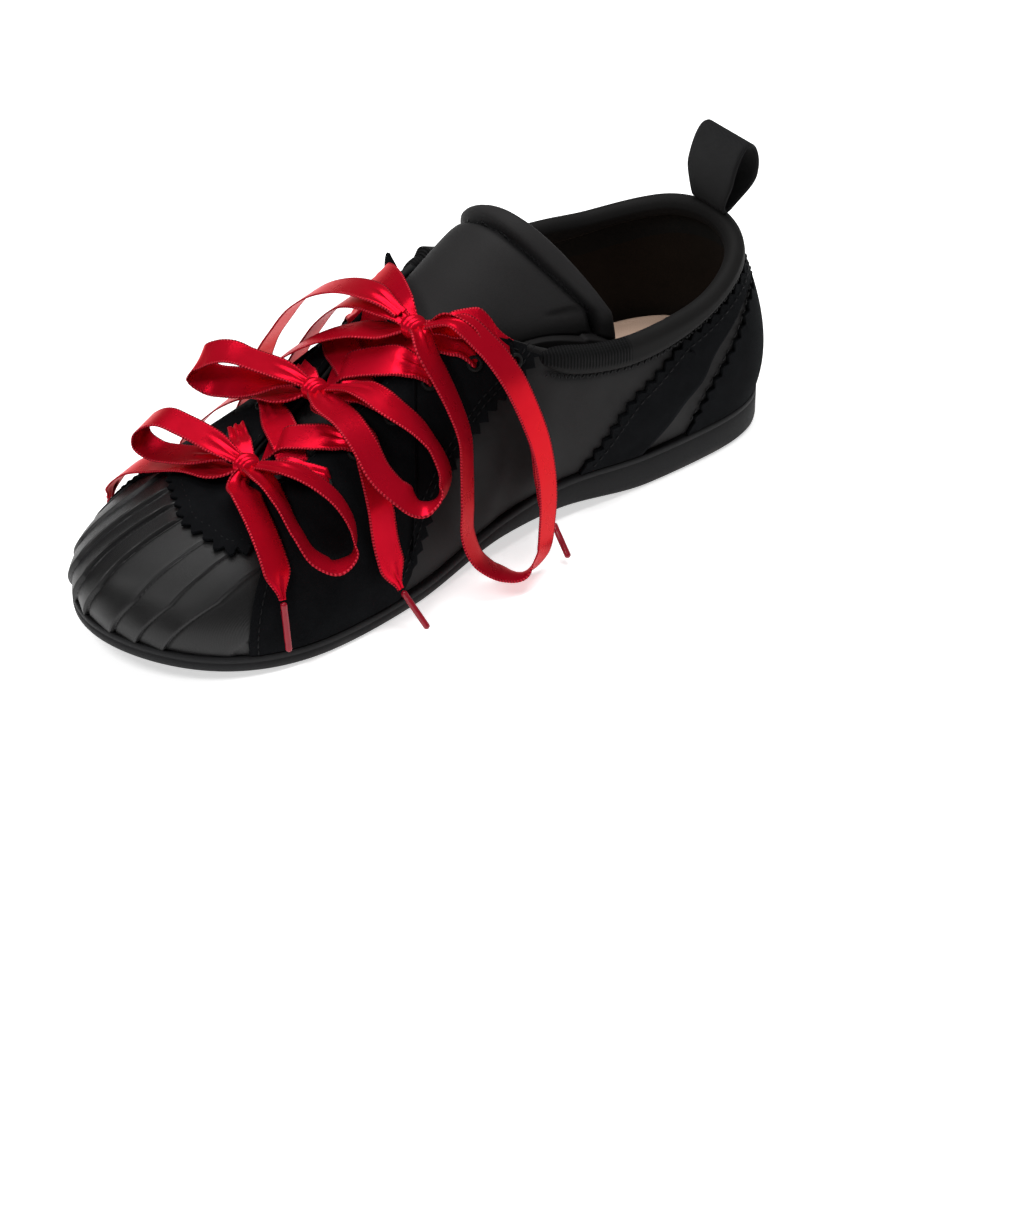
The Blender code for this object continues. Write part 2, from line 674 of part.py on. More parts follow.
def build_binding():
    """Padded roll over the collar edge: a channel that takes the wall."""
    around = np.linspace(*BINDING_ENDS, 43)
    edge = rim(np.mod(around, 1.0))
    deep = BINDING_DEPTH
    inside = -WALL - CLEARANCE
    section = ((-deep, CLEARANCE), (-deep, CLEARANCE + 0.9), (-0.5 * deep, CLEARANCE + BINDING_PAD),
               (0.6, CLEARANCE + 1.5), (2.2, -0.4 * WALL), (0.6, inside - 1.2),
               (-0.5 * deep, inside - BINDING_PAD), (1 - deep, inside - 1.0),
               (1 - deep, inside), (0.4, inside), (0.4, CLEARANCE))
    sections = []
    for rise, lift in section:
        up = edge + share_of(around, edge, rise)
        sections.append(skin(around, up, np.full(len(around), lift)))
    run_solid("collar_binding", np.array(sections).transpose(1, 0, 2), "webbing")


def build_tongue():
    """Padded tongue under the eyestays, its top edge wrapped round inside the collar."""
    first, last = -TONGUE[0, 0], -TONGUE[-1, 0]
    table = np.column_stack([-TONGUE[:, 0], TONGUE])
    rows = open_spline(table, np.linspace(first, last, 18))[:, :, None]
    along, across, height, half, medial, lateral, sweep_medial, sweep_lateral, thick = rows.swapaxes(0, 1)
    wrap = np.radians(TONGUE_WRAP)
    turn = np.linspace(-1, 1, 11)[None, :] * wrap
    side = np.sin(turn) / np.sin(wrap)
    bend = (1 - np.cos(turn)) / (1 - np.cos(wrap))
    fall = np.where(turn > 0, medial, lateral) * bend
    sweep = np.where(turn > 0, sweep_medial, sweep_lateral) * bend
    offset = side * half
    top = np.stack([along - THROAT_SKEW * offset - sweep, across + offset, height - fall], -1)
    normal = np.cross(np.gradient(top, axis=1), np.gradient(top, axis=0))
    normal = normal / np.linalg.norm(normal, axis=-1, keepdims=True)
    normal = normal * np.sign(normal[..., 2:3])
    depth = thick * (1 - 0.45 * np.abs(side) ** 4)
    sheet("tongue", top, top - depth[..., None] * normal, "neoprene")


def build_pull_loop():
    """Folded webbing loop standing on the collar at the heel."""
    knots = np.arange(len(PULL_LOOP)) / len(PULL_LOOP)
    at = np.arange(24) / 24
    line = closed_spline(knots, PULL_LOOP, at)
    run = closed_spline(knots, PULL_LOOP, at + 0.002) - closed_spline(knots, PULL_LOOP, at - 0.002)
    run = run / np.linalg.norm(run, axis=1, keepdims=True)
    out = np.stack([run[:, 1], -run[:, 0]], 1)
    full = LOOP_FOOT + (1 - LOOP_FOOT) * ease(line[:, 1], *LOOP_TAPER)
    rings = []
    for side, offset in ((-1, 0.5), (1, 0.5), (1, -0.5), (-1, -0.5)):
        edge = line + offset * WEBBING * out
        across = side * LOOP_WIDTH / 2 * full
        rings.append(np.column_stack([edge[:, 0], across, edge[:, 1]]))
    ring_solid("pull_loop", np.array(rings), "webbing")


def eyelet_place(row, side, reach):
    """Along and across beside the throat, at a distance from its edge."""
    middle, half = open_spline(THROAT, EYELET_ROWS[row])
    offset = side * (half + reach)
    return np.array([EYELET_ROWS[row] - THROAT_SKEW * offset, middle + offset])


def find(along, across):
    """Around and up of the place on the roof of the last, by closing in on a grid."""
    around, up, wide, high = 0.5, 0.7, 0.32, 0.28
    for _ in range(10):
        grid_around = around + np.linspace(-wide, wide, 25)[:, None]
        grid_up = np.clip(up + np.linspace(-high, high, 25), 0.3, 0.98)[None, :]
        point = last_point(grid_around, grid_up)
        miss = (point[..., 0] - along) ** 2 + (point[..., 1] - across) ** 2
        best = np.unravel_index(np.argmin(miss), miss.shape)
        around, up = grid_around[best[0], 0], grid_up[0, best[1]]
        wide, high = wide * 0.35, high * 0.35
    return around, up


def build_eyelet(name, row, side):
    """Metal ring on the eyestay."""
    around, up = find(*eyelet_place(row, side, EYELET_INSET))
    seat = VAMP_CLEARANCE + SUEDE + 0.2
    foot = skin(around, up, seat)
    normal = skin(around, up, seat + 1.0) - foot
    first = np.cross(normal, np.array([1.0, 0.0, 0.0]))
    first = first / np.linalg.norm(first)
    second = np.cross(normal, first)
    turn = np.arange(8) * np.pi / 4
    spoke = np.cos(turn)[:, None] * first + np.sin(turn)[:, None] * second
    section = ((EYELET_BORE, 0), (EYELET_OUTER, 0), (EYELET_OUTER - 0.4, EYELET_HEIGHT),
               (EYELET_BORE, EYELET_HEIGHT))
    rings = [foot + radius * spoke + height * normal for radius, height in section]
    ring_solid(name, np.array(rings), "metal")


def ride(plan, lift):
    """Points above the instep for places in plan."""
    ridge, medial, lateral = np.moveaxis(open_spline(INSTEP, plan[..., 0]), -1, 0)
    off = plan[..., 1] - open_spline(THROAT, plan[..., 0])[..., 0]
    fall = np.where(off > 0, medial, lateral) * (off / 20) ** 2
    return np.concatenate([plan, (ridge - fall + lift)[..., None]], -1)


def build_strap(name, start, end, lift, full_width, end_level, flat_run):
    """Flat ribbon over the instep, gathered on its eyelet, brought to a level at its end.

    Over the last flat_run millimetres its two edges come to one height.
    """
    share = np.linspace(0, 1, 9)
    reach = np.linalg.norm(end - start)
    run = share * reach
    line = start + share[:, None] * (end - start)
    side = np.array([start[1] - end[1], end[0] - start[0]]) / reach
    width = GATHERED_WIDTH + (full_width - GATHERED_WIDTH) * ease(run, 0, OPENING_RUN)
    level = STRAP_SEAT + (lift - STRAP_SEAT) * ease(run, 0, RISING_RUN)
    level = level + (end_level - lift) * ease(run, reach - TUCKING_RUN, reach)
    corners = ((0.5, 0.5), (-0.5, 0.5), (-0.5, -0.5), (0.5, -0.5))
    flat = ease(run, reach - flat_run, reach)
    middle = ride(line, level)[:, 2]
    sections = []
    for out, up in corners:
        edge = ride(line + out * width[:, None] * side, level)
        edge[:, 2] += flat * (middle - edge[:, 2]) + up * STRAP_THICK
        sections.append(edge)
    return run_solid(name, np.array(sections).transpose(1, 0, 2), "ribbon")


def build_crossing(number):
    """One ribbon's two straps across the throat, joined where they cross."""
    row = LACED_ROWS[number][1]
    name = "lace_%d_crossing" % (number + 1)
    bar = build_strap(name, eyelet_place(row, 1, EYELET_INSET), np.array(BAR_ENDS[number]), STRAP_LIFT,
                      RIBBON_WIDTH, STRAP_LIFT - TUCK, UNFLATTENED)
    other = build_strap(name + "_tool", eyelet_place(row, -1, EYELET_INSET), np.array(DIAGONAL_ENDS[number]),
                        CROSSED_LIFT, RIBBON_WIDTH, CROSSED_LIFT - TUCK, UNFLATTENED)
    other.hide_render = True
    other.display_type = "WIRE"
    join = bar.modifiers.new("join", "BOOLEAN")
    join.operation = "UNION"
    join.solver = "EXACT"
    join.object = other


def beside_knot(knot, point, level):
    """Place in plan towards a point, just clear of the knot, at a level on its side."""
    away = np.array(point[:2], float) - knot[:2]
    return np.append(knot[:2] + KNOT_SEAT * away / np.linalg.norm(away), knot[2] + KNOT_LEVELS[level])


def build_gathers(number):
    """The ribbon's short straps from their eyelets to the knot."""
    knot = np.array(BOWS[number]["knot"], float)
    for name, side in (("medial", 1), ("lateral", -1)):
        start = eyelet_place(LACED_ROWS[number][0], side, EYELET_INSET)
        end = beside_knot(knot, start, "gather")
        level = end[2] - ride(end[:2], 0.0)[2]
        build_strap("lace_%d_gather_%s" % (number + 1, name), start, end[:2], GATHER_LIFT, KNOT_WIDTH, level,
                    GATHER_FLAT[name])


def smooth_route(points, count):
    """Even points on a smooth curve through a strand's points."""
    points = np.array(points, float)
    run = np.concatenate([[0], np.cumsum(np.linalg.norm(np.diff(points, axis=0), axis=1))])
    return open_spline(np.column_stack([run, points]), np.linspace(0, run[-1], count))


def spread(rows, share):
    """Rows of directions set evenly along a strand, at shares of its length."""
    rows = np.array(rows)
    spots = np.linspace(0, 1, len(rows))
    return np.column_stack([np.interp(share, spots, rows[:, k]) for k in range(3)])


def build_strand(name, directions, points, count, end_width):
    """Free ribbon: a flat section along a route, its width square to the path."""
    line = smooth_route(points, count)
    run = np.gradient(line, axis=0)
    run = run / np.linalg.norm(run, axis=1, keepdims=True)
    share = np.linspace(0, 1, count)[:, None]
    wide = spread(directions, share[:, 0])
    wide = wide - (run * wide).sum(1, keepdims=True) * run
    wide = wide / np.linalg.norm(wide, axis=1, keepdims=True)
    thin = np.cross(run, wide)
    width = RIBBON_WIDTH + (end_width - RIBBON_WIDTH) * ease(share, 0.6, 1.0)
    width = width - (RIBBON_WIDTH - KNOT_WIDTH) * (1 - ease(share, 0.0, 0.12))
    corners = ((0.5, 0.5), (-0.5, 0.5), (-0.5, -0.5), (0.5, -0.5))
    sections = [line + out * width * wide + up * RIBBON_THICK * thin for out, up in corners]
    run_solid(name, np.array(sections).transpose(1, 0, 2), "ribbon")


def build_tip(name, ribbon_end, end):
    """Clear tube that closes the end of a ribbon."""
    run = np.array(end, float) - ribbon_end
    run = run / np.linalg.norm(run)
    start = ribbon_end + TIP_GAP * run
    first = np.cross(run, np.array([1.0, 0.0, 0.0]))
    first = first / np.linalg.norm(first)
    second = np.cross(run, first)
    turn = np.arange(6) * np.pi / 3
    spoke = TIP_RADIUS * (np.cos(turn)[:, None] * first + np.sin(turn)[:, None] * second)
    run_solid(name, np.array([start + spoke, end + spoke]), "tip")


def build_knot(name, centre):
    """Tight wrap of ribbon, round in plan and flattened."""
    turn = np.arange(8) * np.pi / 4
    plan = np.stack([np.sin(turn), np.cos(turn), np.zeros(8)], 1)
    rings = []
    for share, height in ((0.7, 1.0), (1.0, 0.75), (1.0, -0.75), (0.7, -1.0)):
        rings.append(np.array(centre) + share * KNOT_RADIUS * plan + [0, 0, height * KNOT_HALF])
    plate(name, np.array(rings), "ribbon")


def build_bow(number):
    """Knot, and on each side a loop back to it and an end with its tip."""
    bow = BOWS[number]
    knot = np.array(bow["knot"], float)
    name = "bow_%d_" % (number + 1)
    build_knot(name + "knot", knot)
    for side in ("medial", "lateral"):
        wide, points = bow["loop_" + side]
        order = ("loop_over", "loop_under") if points[0][2] > points[-1][2] else ("loop_under", "loop_over")
        first, last = (beside_knot(knot, points[k], order[k]) for k in (0, -1))
        build_strand(name + "loop_" + side, wide, [first, *points[1:-1], last], LOOP_SECTIONS, KNOT_WIDTH)
        wide, points = bow["end_" + side]
        first = beside_knot(knot, points[0], "end_over" if points[0][2] > knot[2] else "end_under")
        build_strand(name + "end_" + side, wide, [first, *points[1:]], END_SECTIONS, GATHERED_WIDTH)
        build_tip(name + "tip_" + side, np.array(points[-1], float), bow["tip_" + side])


def build_all():
    """The whole shoe, from the sole up."""
    clear_scene()
    build_outsole()
    build_insole()
    build_upper()
    build_tongue()
    build_toe_cap()
    build_vamp()
    build_quarter_band()
    build_counter()
    build_binding()
    build_pull_loop()
    for row in range(len(EYELET_ROWS)):
        build_eyelet("eyelet_medial_%d" % (row + 1), row, 1)
        build_eyelet("eyelet_lateral_%d" % (row + 1), row, -1)
    for number in range(len(BOWS)):
        build_crossing(number)
        build_gathers(number)
        build_bow(number)


build_all()
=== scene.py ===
"""A low right sneaker with a pleated satin toe cap and three ribbon bows, on a pale floor.

Tables are in millimetres of the shoe: along runs from the heel to the toe, across is positive to
the medial side, height is from the floor. The toe points along -Y, the medial side is +X.
"""
import bpy
import bmesh
import numpy as np
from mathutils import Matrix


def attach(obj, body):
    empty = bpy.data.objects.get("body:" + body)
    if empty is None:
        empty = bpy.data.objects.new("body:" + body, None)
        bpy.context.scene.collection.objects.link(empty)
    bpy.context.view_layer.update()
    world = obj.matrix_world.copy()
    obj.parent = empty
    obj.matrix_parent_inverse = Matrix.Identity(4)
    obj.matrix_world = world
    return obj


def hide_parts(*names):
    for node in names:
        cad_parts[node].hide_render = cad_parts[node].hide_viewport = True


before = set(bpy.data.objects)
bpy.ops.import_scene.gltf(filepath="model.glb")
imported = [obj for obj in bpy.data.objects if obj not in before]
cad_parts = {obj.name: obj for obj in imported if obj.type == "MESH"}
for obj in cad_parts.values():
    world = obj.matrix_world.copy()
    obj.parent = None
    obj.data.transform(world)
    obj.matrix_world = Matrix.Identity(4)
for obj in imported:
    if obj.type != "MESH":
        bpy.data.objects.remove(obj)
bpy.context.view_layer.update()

# Outsole. One thin unit of dark moulded rubber with the outline of the last, a low heel, a raised
# arch and a sprung toe. It is cemented under the upper, and its edge stands a little proud of it.
CENTRE_ALONG = 125.38
CENTRE_ACROSS = -1.165
HEEL_HEIGHT = 12.0
FOREFOOT_HEIGHT = 5.5
TOE_SPRING = 9.0
SPRING_START = 190.0
SPRING_RUN = 62.0
ARCH_RISE = 4.0
ARCH_START = (62.0, 100.0)
ARCH_END = (120.0, 160.0)
HEEL_SLOPE = (60.0, 150.0)
AROUND_STEPS = 480
AROUND_NUDGE = 0.0005
# The last, one row for each section line from the heel back by the medial side to the toe and home.
# Columns: along and across of the feather edge, lean of the wall in degrees, lower handle, along,
# across and height of the crown, dip of the roof in degrees, upper handle.
LAST = np.array([
    [4, 0, 22, 27, 21, 0, 92, 84, 22],
    [13, 21, 19, 26, 25, 15, 92, 84, 22],
    [40, 29, 14, 26, 40, 24, 92, 82, 22],
    [75, 29.5, 18, 26, 68, 24, 92, 74, 22],
    [108, 29, 20, 26, 94, 17, 90, 60, 22],
    [138, 34, 15, 24, 115, 8, 82, 40, 22],
    [172, 41, 10, 23, 136, 2.5, 68, 22, 23],
    [206, 42, 12, 24, 151, 3, 58, 20, 28],
    [234, 31, 18, 26, 159, 4, 53.5, 22, 36],
    [249, 6, 20, 27, 163, 4, 51, 22.5, 41],
    [239, -20, 19, 26, 159, 3, 53.5, 22, 36],
    [214, -36, 14, 26, 151, 1, 58, 20, 28],
    [176, -45, 8, 22, 137, -4, 69, 28, 23],
    [140, -41.5, 8, 24, 116, -14, 86, 56, 23],
    [105, -36, 10, 25, 96, -24, 92, 76, 23],
    [72, -33, 12, 26, 68, -27, 92, 82, 22],
    [40, -30, 14, 26, 40, -24, 92, 82, 22],
    [13, -21, 19, 26, 25, -15, 92, 84, 22],
])
# Section of the edge. Columns: distance outside the feather edge, 1 for heights measured from the
# top of the sole and 0 for heights from its underside, height.
SOLE_EDGE = np.array([
    [0.9, 1, 0.0],
    [1.5, 1, 0.0],
    [1.85, 1, -0.25],
    [2.0, 1, -0.8],
    [2.0, 1, -1.6],
    [1.75, 1, -1.9],
    [1.75, 1, -2.2],
    [2.0, 1, -2.5],
    [2.0, 0, 1.9],
    [1.85, 0, 1.1],
    [1.4, 0, 0.5],
    [0.8, 0, 0.12],
    [0.2, 0, 0.0],
])


def closed_spline(knots, values, at):
    """Periodic cubic with period one through the rows of values, from a ring of bend equations."""
    count = len(knots)
    step = np.diff(np.append(knots, knots[0] + 1.0))
    rise = (np.roll(values, -1, 0) - values) / step[:, None]
    before = np.roll(step, 1)
    index = np.arange(count)
    matrix = np.zeros((count, count))
    matrix[index, index - 1] = before
    matrix[index, index] = 2 * (before + step)
    matrix[index, (index + 1) % count] = step
    bend = np.linalg.solve(matrix, 6 * (rise - np.roll(rise, 1, 0)))
    at = np.mod(at, 1.0)
    here = np.clip(np.searchsorted(knots, at, side="right") - 1, 0, count - 1)
    there = (here + 1) % count
    past = (at - knots[here])[..., None]
    gap = step[here][..., None]
    first = rise[here] - gap * (2 * bend[here] + bend[there]) / 6
    third = (bend[there] - bend[here]) / (6 * gap)
    return values[here] + past * first + past ** 2 * bend[here] / 2 + past ** 3 * third


def ease(value, low, high):
    """Zero below low, one above high, and a cubic with level ends between them."""
    share = np.clip((value - low) / (high - low), 0, 1)
    return share * share * (3 - 2 * share)


def sole_bottom(along):
    """Height of the tread: a square rise to the toe and an eased arch at the waist."""
    spring = TOE_SPRING * (np.clip(along - SPRING_START, 0, None) / SPRING_RUN) ** 2
    return spring + ARCH_RISE * ease(along, *ARCH_START) * (1 - ease(along, *ARCH_END))


def sole_top(along):
    """Height of the feather edge: the tread plus a thickness eased from heel to forefoot."""
    return sole_bottom(along) + HEEL_HEIGHT + (FOREFOOT_HEIGHT - HEEL_HEIGHT) * ease(along, *HEEL_SLOPE)


knot_gap = np.linalg.norm(np.roll(LAST[:, :2], -1, 0) - LAST[:, :2], axis=1)
KNOTS = (np.cumsum(knot_gap) - knot_gap) / knot_gap.sum()


def unit(vectors):
    """Vectors of the same directions, each divided by its length."""
    return vectors / np.linalg.norm(vectors, axis=-1, keepdims=True)


def outline(around, grow=0.0):
    """Feather edge at a share of the way round, moved outward square to its run by grow."""
    row, ahead, behind = (closed_spline(KNOTS, LAST[:, :2], around + nudge)
                          for nudge in (0.0, AROUND_NUDGE, -AROUND_NUDGE))
    run = unit(ahead - behind)
    out = np.stack([-run[..., 1], run[..., 0]], -1)
    return row + grow * out, out


def place(points):
    """Metres of the frame from along, across and height in millimetres."""
    along, across, height = np.moveaxis(points, -1, 0)
    return np.stack([across - CENTRE_ACROSS, CENTRE_ALONG - along, height], -1) / 1000


def make_piece(name, points, faces, finish, strip=None, marks=None, closed=True):
    """Mesh from points in millimetres and faces; strip is a UV for each point, marks are attributes.

    A closed piece has its faces turned outward, and an open sheet keeps the order that it is given.
    """
    mesh = bpy.data.meshes.new(name)
    mesh.from_pydata(place(points).reshape(-1, 3).tolist(), [], faces)
    if closed:
        shape = bmesh.new()
        shape.from_mesh(mesh)
        bmesh.ops.recalc_face_normals(shape, faces=shape.faces)
        shape.to_mesh(mesh)
        shape.free()
    for key, values in (marks or {}).items():
        mark = mesh.attributes.new(key, "FLOAT", "POINT")
        mark.data.foreach_set("value", values.astype(np.float32).ravel())
    if strip is not None:
        corner = np.zeros(len(mesh.loops), np.int32)
        mesh.loops.foreach_get("vertex_index", corner)
        layer = mesh.uv_layers.new(name="strip")
        layer.data.foreach_set("uv", strip.reshape(-1, 2)[corner].astype(np.float32).ravel())
    mesh.polygons.foreach_set("use_smooth", np.ones(len(mesh.polygons), bool))
    mesh.materials.append(finish)
    piece = bpy.data.objects.new(name, mesh)
    bpy.context.scene.collection.objects.link(piece)
    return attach(piece, "root")


def grid_faces(rows, columns, wrap_rows=False, wrap_columns=False):
    """Four-sided faces between neighbouring rows and columns, joined round where a way is wrapped."""
    index = np.arange(rows * columns).reshape(rows, columns)
    if wrap_rows:
        index = np.concatenate([index, index[:1]])
    if wrap_columns:
        index = np.concatenate([index, index[:, :1]], 1)
    corners = (index[:-1, :-1], index[1:, :-1], index[1:, 1:], index[:-1, 1:])
    return np.stack(corners, -1).reshape(-1, 4).tolist()


def cap_faces(ring):
    """Faces across a ring of point numbers, from each point to the one over against it."""
    half = len(ring) // 2
    k = np.arange(1, half - 1)
    across = np.stack([ring[k], ring[k + 1], ring[-k - 1], ring[-k]], -1).tolist()
    return across + [[ring[0], ring[1], ring[-1]], [ring[half - 1], ring[half], ring[half + 1]]]


def tube_faces(rows, columns):
    """Faces of a stack of rings of points, with a cap across the first ring and the last."""
    number = np.arange(rows * columns).reshape(rows, columns)
    return grid_faces(rows, columns, wrap_columns=True) + cap_faces(number[0]) + cap_faces(number[-1])


class Ink:
    """One shader socket; sums, differences and products of it add Math nodes to its tree."""

    def __init__(self, tree, socket=None):
        self.tree = tree
        self.socket = socket

    def node(self, kind, inputs=None, output=0, **settings):
        """Adds a node: its settings first, then the values or links of its sockets."""
        made = self.tree.nodes.new("ShaderNode" + kind)
        for key, value in settings.items():
            setattr(made, key, value)
        for key, value in (inputs or {}).items():
            if isinstance(value, Ink):
                self.tree.links.new(value.socket, made.inputs[key])
            else:
                made.inputs[key].default_value = value
        return Ink(self.tree, made.outputs[output])

    def sum_of(self, operation, first, second):
        """Math node of this operation on two values."""
        return self.node("Math", {0: first, 1: second}, operation=operation)

    def __add__(self, other):
        return self.sum_of("ADD", self, other)

    def __sub__(self, other):
        return self.sum_of("SUBTRACT", self, other)

    def __rsub__(self, other):
        return self.sum_of("SUBTRACT", other, self)

    def __mul__(self, other):
        return self.sum_of("MULTIPLY", self, other)

    __radd__ = __add__

    def between(self, low, high):
        """Zero below low, one above high, eased between."""
        return self.node("MapRange", {0: self, 1: low, 2: high}, interpolation_type="SMOOTHSTEP")

    def tint(self, first, second):
        """Colour that goes from the first to the second as this value goes from 0 to 1."""
        return self.node("Mix", {0: self, 6: first, 7: second}, output=2, data_type="RGBA")

    def noise(self, scale, detail=2.0, rough=0.5):
        """Noise of this many cells to the metre on this vector, from 0 to 1."""
        return self.node("TexNoise", {"Vector": self, "Scale": scale, "Detail": detail, "Roughness": rough})

    def part(self, axis):
        """One coordinate of this vector."""
        return self.node("SeparateXYZ", {0: self}, output=axis)

    def mark(self, name):
        """The attribute of this name on the mesh."""
        return self.node("Attribute", output=2, attribute_name=name)

    def wave(self):
        """Sine of this value in radians, halved and raised so that it goes from 0 to 1."""
        return self.node("Math", {0: self}, operation="SINE") * 0.5 + 0.5


def new_finish(name, **constants):
    """Material whose shader has the given constants; returns it with its shader and object position."""
    finish = bpy.data.materials.new(name)
    finish.use_nodes = True
    shader = finish.node_tree.nodes["Principled BSDF"]
    for key, value in constants.items():
        shader.inputs[key.replace("_", " ")].default_value = value
    return finish, shader, Ink(finish.node_tree).node("TexCoord", output=3)


def wear(shader, colour=None, roughness=None, relief=None):
    """Links what varies over a surface: colour, roughness, and a relief in millimetres through a bump."""
    tree = shader.id_data
    if colour is not None:
        tree.links.new(colour.socket, shader.inputs["Base Color"])
    if roughness is not None:
        tree.links.new(roughness.socket, shader.inputs["Roughness"])
    if relief is not None:
        bump = relief.node("Bump", {"Height": relief, "Distance": 0.001, "Strength": 1.0})
        tree.links.new(bump.socket, shader.inputs["Normal"])


rubber, shader, spot = new_finish("moulded_rubber", **{"Specular IOR Level": 0.15})
height = spot.part(2)
grain = spot.noise(1400, 3)
dust = spot.noise(60, 4)
scuff = (1 - height.between(0.0005, 0.004)) * dust.between(0.35, 0.7)
ribs = spot.node("TexWave", {"Vector": spot, "Scale": 95.0, "Distortion": 0.0}, wave_type="BANDS",
                 bands_direction="DIAGONAL")
under = 1 - height.between(0.0002, 0.0012)
base = (grain * 0.5 + dust * 0.5).tint((0.007, 0.007, 0.0075, 1), (0.015, 0.015, 0.016, 1))
wear(shader, scuff.tint(base, (0.050, 0.049, 0.047, 1)), 0.5 + grain * 0.3 + scuff * 0.1,
     grain * 0.06 + under * ribs * 0.5)

ring_at = np.arange(AROUND_STEPS) / AROUND_STEPS


def level_rings(table, low, high):
    """Rings round the last: distances outside the feather edge, heights from one of two levels."""
    rings = []
    for grow, from_top, rise in table:
        edge, _ = outline(ring_at, grow)
        level = high(edge[:, 0]) if from_top else low(edge[:, 0])
        rings.append(np.column_stack([edge, level + rise]))
    return np.array(rings)


rings = level_rings(SOLE_EDGE, sole_bottom, sole_top)
outsole = make_piece("rubber_outsole", rings, tube_faces(*rings.shape[:2]), rubber)
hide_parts("outsole")

# Insole. A sock of smooth tan leather over a foam pad, thicker under the heel, laid loose inside
# the upper on top of the sole board.
INSOLE_THICK = 3.4
HEEL_PAD = 6.0
PAD_FADE = (60.0, 130.0)
SOLE_GAP = 0.35
INSOLE_EDGE = np.array([
    [-3.6, 0, 0.0],
    [-3.25, 0, 1.4],
    [-3.2, 1, -0.9],
    [-3.5, 1, -0.35],
    [-4.1, 1, -0.08],
    [-4.9, 1, 0.0],
    [-6.0, 1, -0.35],
    [-7.0, 1, -0.05],
    [-12.0, 1, 0.0],
])


def insole_top(along):
    """Height of the sock: the sole, a clearance and a pad that thickens at the heel."""
    return sole_top(along) + SOLE_GAP + INSOLE_THICK + HEEL_PAD * (1 - ease(along, *PAD_FADE))


sock_leather, shader, spot = new_finish("sock_leather", **{"Specular IOR Level": 0.4})
pores = spot.node("TexVoronoi", {"Vector": spot, "Scale": 900.0}, output=0, feature="DISTANCE_TO_EDGE")
tone = spot.noise(45, 3)
wear(shader, tone.tint((0.50, 0.335, 0.245, 1), (0.66, 0.47, 0.36, 1)), 0.42 + tone * 0.2,
     pores.between(0.0, 0.15) * 0.05)
rings = level_rings(INSOLE_EDGE, lambda along: sole_top(along) + SOLE_GAP, insole_top)
insole = make_piece("leather_sock", rings, tube_faces(*rings.shape[:2]), sock_leather)
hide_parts("insole")

# Upper. One wall of charcoal stretch cloth bonded to thin foam, lasted over the form and cemented
# to the sole; inside it is lined with brown leather below a dark cloth band along the collar.
WALL = 2.2
WALL_FOOT = 0.004
THROAT_START = 108.0
THROAT_END = 194.0
THROAT_ROUND = 11.0
THROAT_SKEW = 0.2
UPPER_ROWS = 60
UP_NUDGE = 0.002
PACE_NUDGE = 0.005
SIDE_BLEND = 8.0
CREASE_RIDGE = 0.55
CREASE_RIDGE_AT = 2.1
ROLL_DEPTH = 4.6
ROLL_DEPTH_GAIN = 2.6
ROLL_DEPTH_EASE = (0.075, 0.135)
# Width of the band of painted shade just below the collar roll, and where it fades out round the heel.
SHADE_UNDER_ROLL_WIDE = 0.9
SHADE_UNDER_ROLL_END = (0.195, 0.21)
# Height of the cut edge. Columns: along, medial side, lateral side.
COLLAR = np.array([
    [-5, 72, 72],
    [8, 71, 71],
    [24, 64.5, 64.5],
    [40, 58.5, 62.5],
    [57, 56, 64],
    [78, 56, 66],
    [100, 61.5, 69.5],
    [112, 67.5, 76],
    [120, 70.5, 80],
    [135, 80, 88],
])
# The throat. Columns: along, across of its middle, half width.
THROAT = np.array([
    [100, -4.5, 26],
    [118, -3.5, 20.5],
    [130, -3, 16],
    [141, -2, 12.5],
    [157, 1, 10.5],
    [171, 3.5, 10],
    [184, 6.5, 9.5],
    [196, 8.5, 9.5],
])
# Soft troughs in the cloth. Columns: side, along and height of one end, along and height of the
# other, depth, half width.
CREASES = np.array([
    [1, 112, 52, 118, 16, 0.9, 5.5],
    [1, 99, 46, 96, 18, 0.6, 6.0],
    [1, 84, 44, 66, 30, 0.5, 5.0],
    [1, 131, 36, 137, 14, 0.7, 4.5],
    [-1, 114, 56, 119, 18, 0.9, 5.5],
    [-1, 90, 50, 84, 22, 0.6, 6.0],
    [-1, 132, 44, 140, 16, 0.7, 5.0],
])


def open_spline(table, at):
    """Cubic through the rows of a table, its first column the parameter, slopes from its neighbours."""
    table = table[np.argsort(table[:, 0])]
    knots, values = table[:, 0], table[:, 1:]
    slope = np.gradient(values, knots, axis=0)
    at = np.clip(np.asarray(at, float), knots[0], knots[-1])
    here = np.clip(np.searchsorted(knots, at, side="right") - 1, 0, len(knots) - 2)
    there = here + 1
    gap = (knots[there] - knots[here])[..., None]
    t = (at - knots[here])[..., None] / gap
    lead = (1 + 2 * t) * (1 - t) ** 2 * values[here] + t * (1 - t) ** 2 * gap * slope[here]
    return lead + t * t * (3 - 2 * t) * values[there] + t * t * (t - 1) * gap * slope[there]


def last_point(around, up):
    """Point of the last: a cubic from the feather edge, by the lean of the wall, up to the crown."""
    around, up = np.broadcast_arrays(np.asarray(around, float), np.asarray(up, float))
    row = closed_spline(KNOTS, LAST, around)
    edge, out = outline(around)
    lean = np.radians(row[..., 2:3])
    dip = np.radians(row[..., 7:8])
    start = np.concatenate([edge, sole_top(edge[..., :1])], -1)
    crown = row[..., 4:7]
    lower = np.concatenate([np.sin(lean) * out, np.cos(lean)], -1) * row[..., 3:4]
    away = unit(edge - crown[..., :2])
    upper = np.concatenate([np.cos(dip) * away, -np.sin(dip)], -1) * row[..., 8:9]
    t = up[..., None]
    return ((1 - t) ** 3 * start + 3 * t * (1 - t) ** 2 * (start + lower)
            + 3 * t * t * (1 - t) * (crown + upper) + t ** 3 * crown)


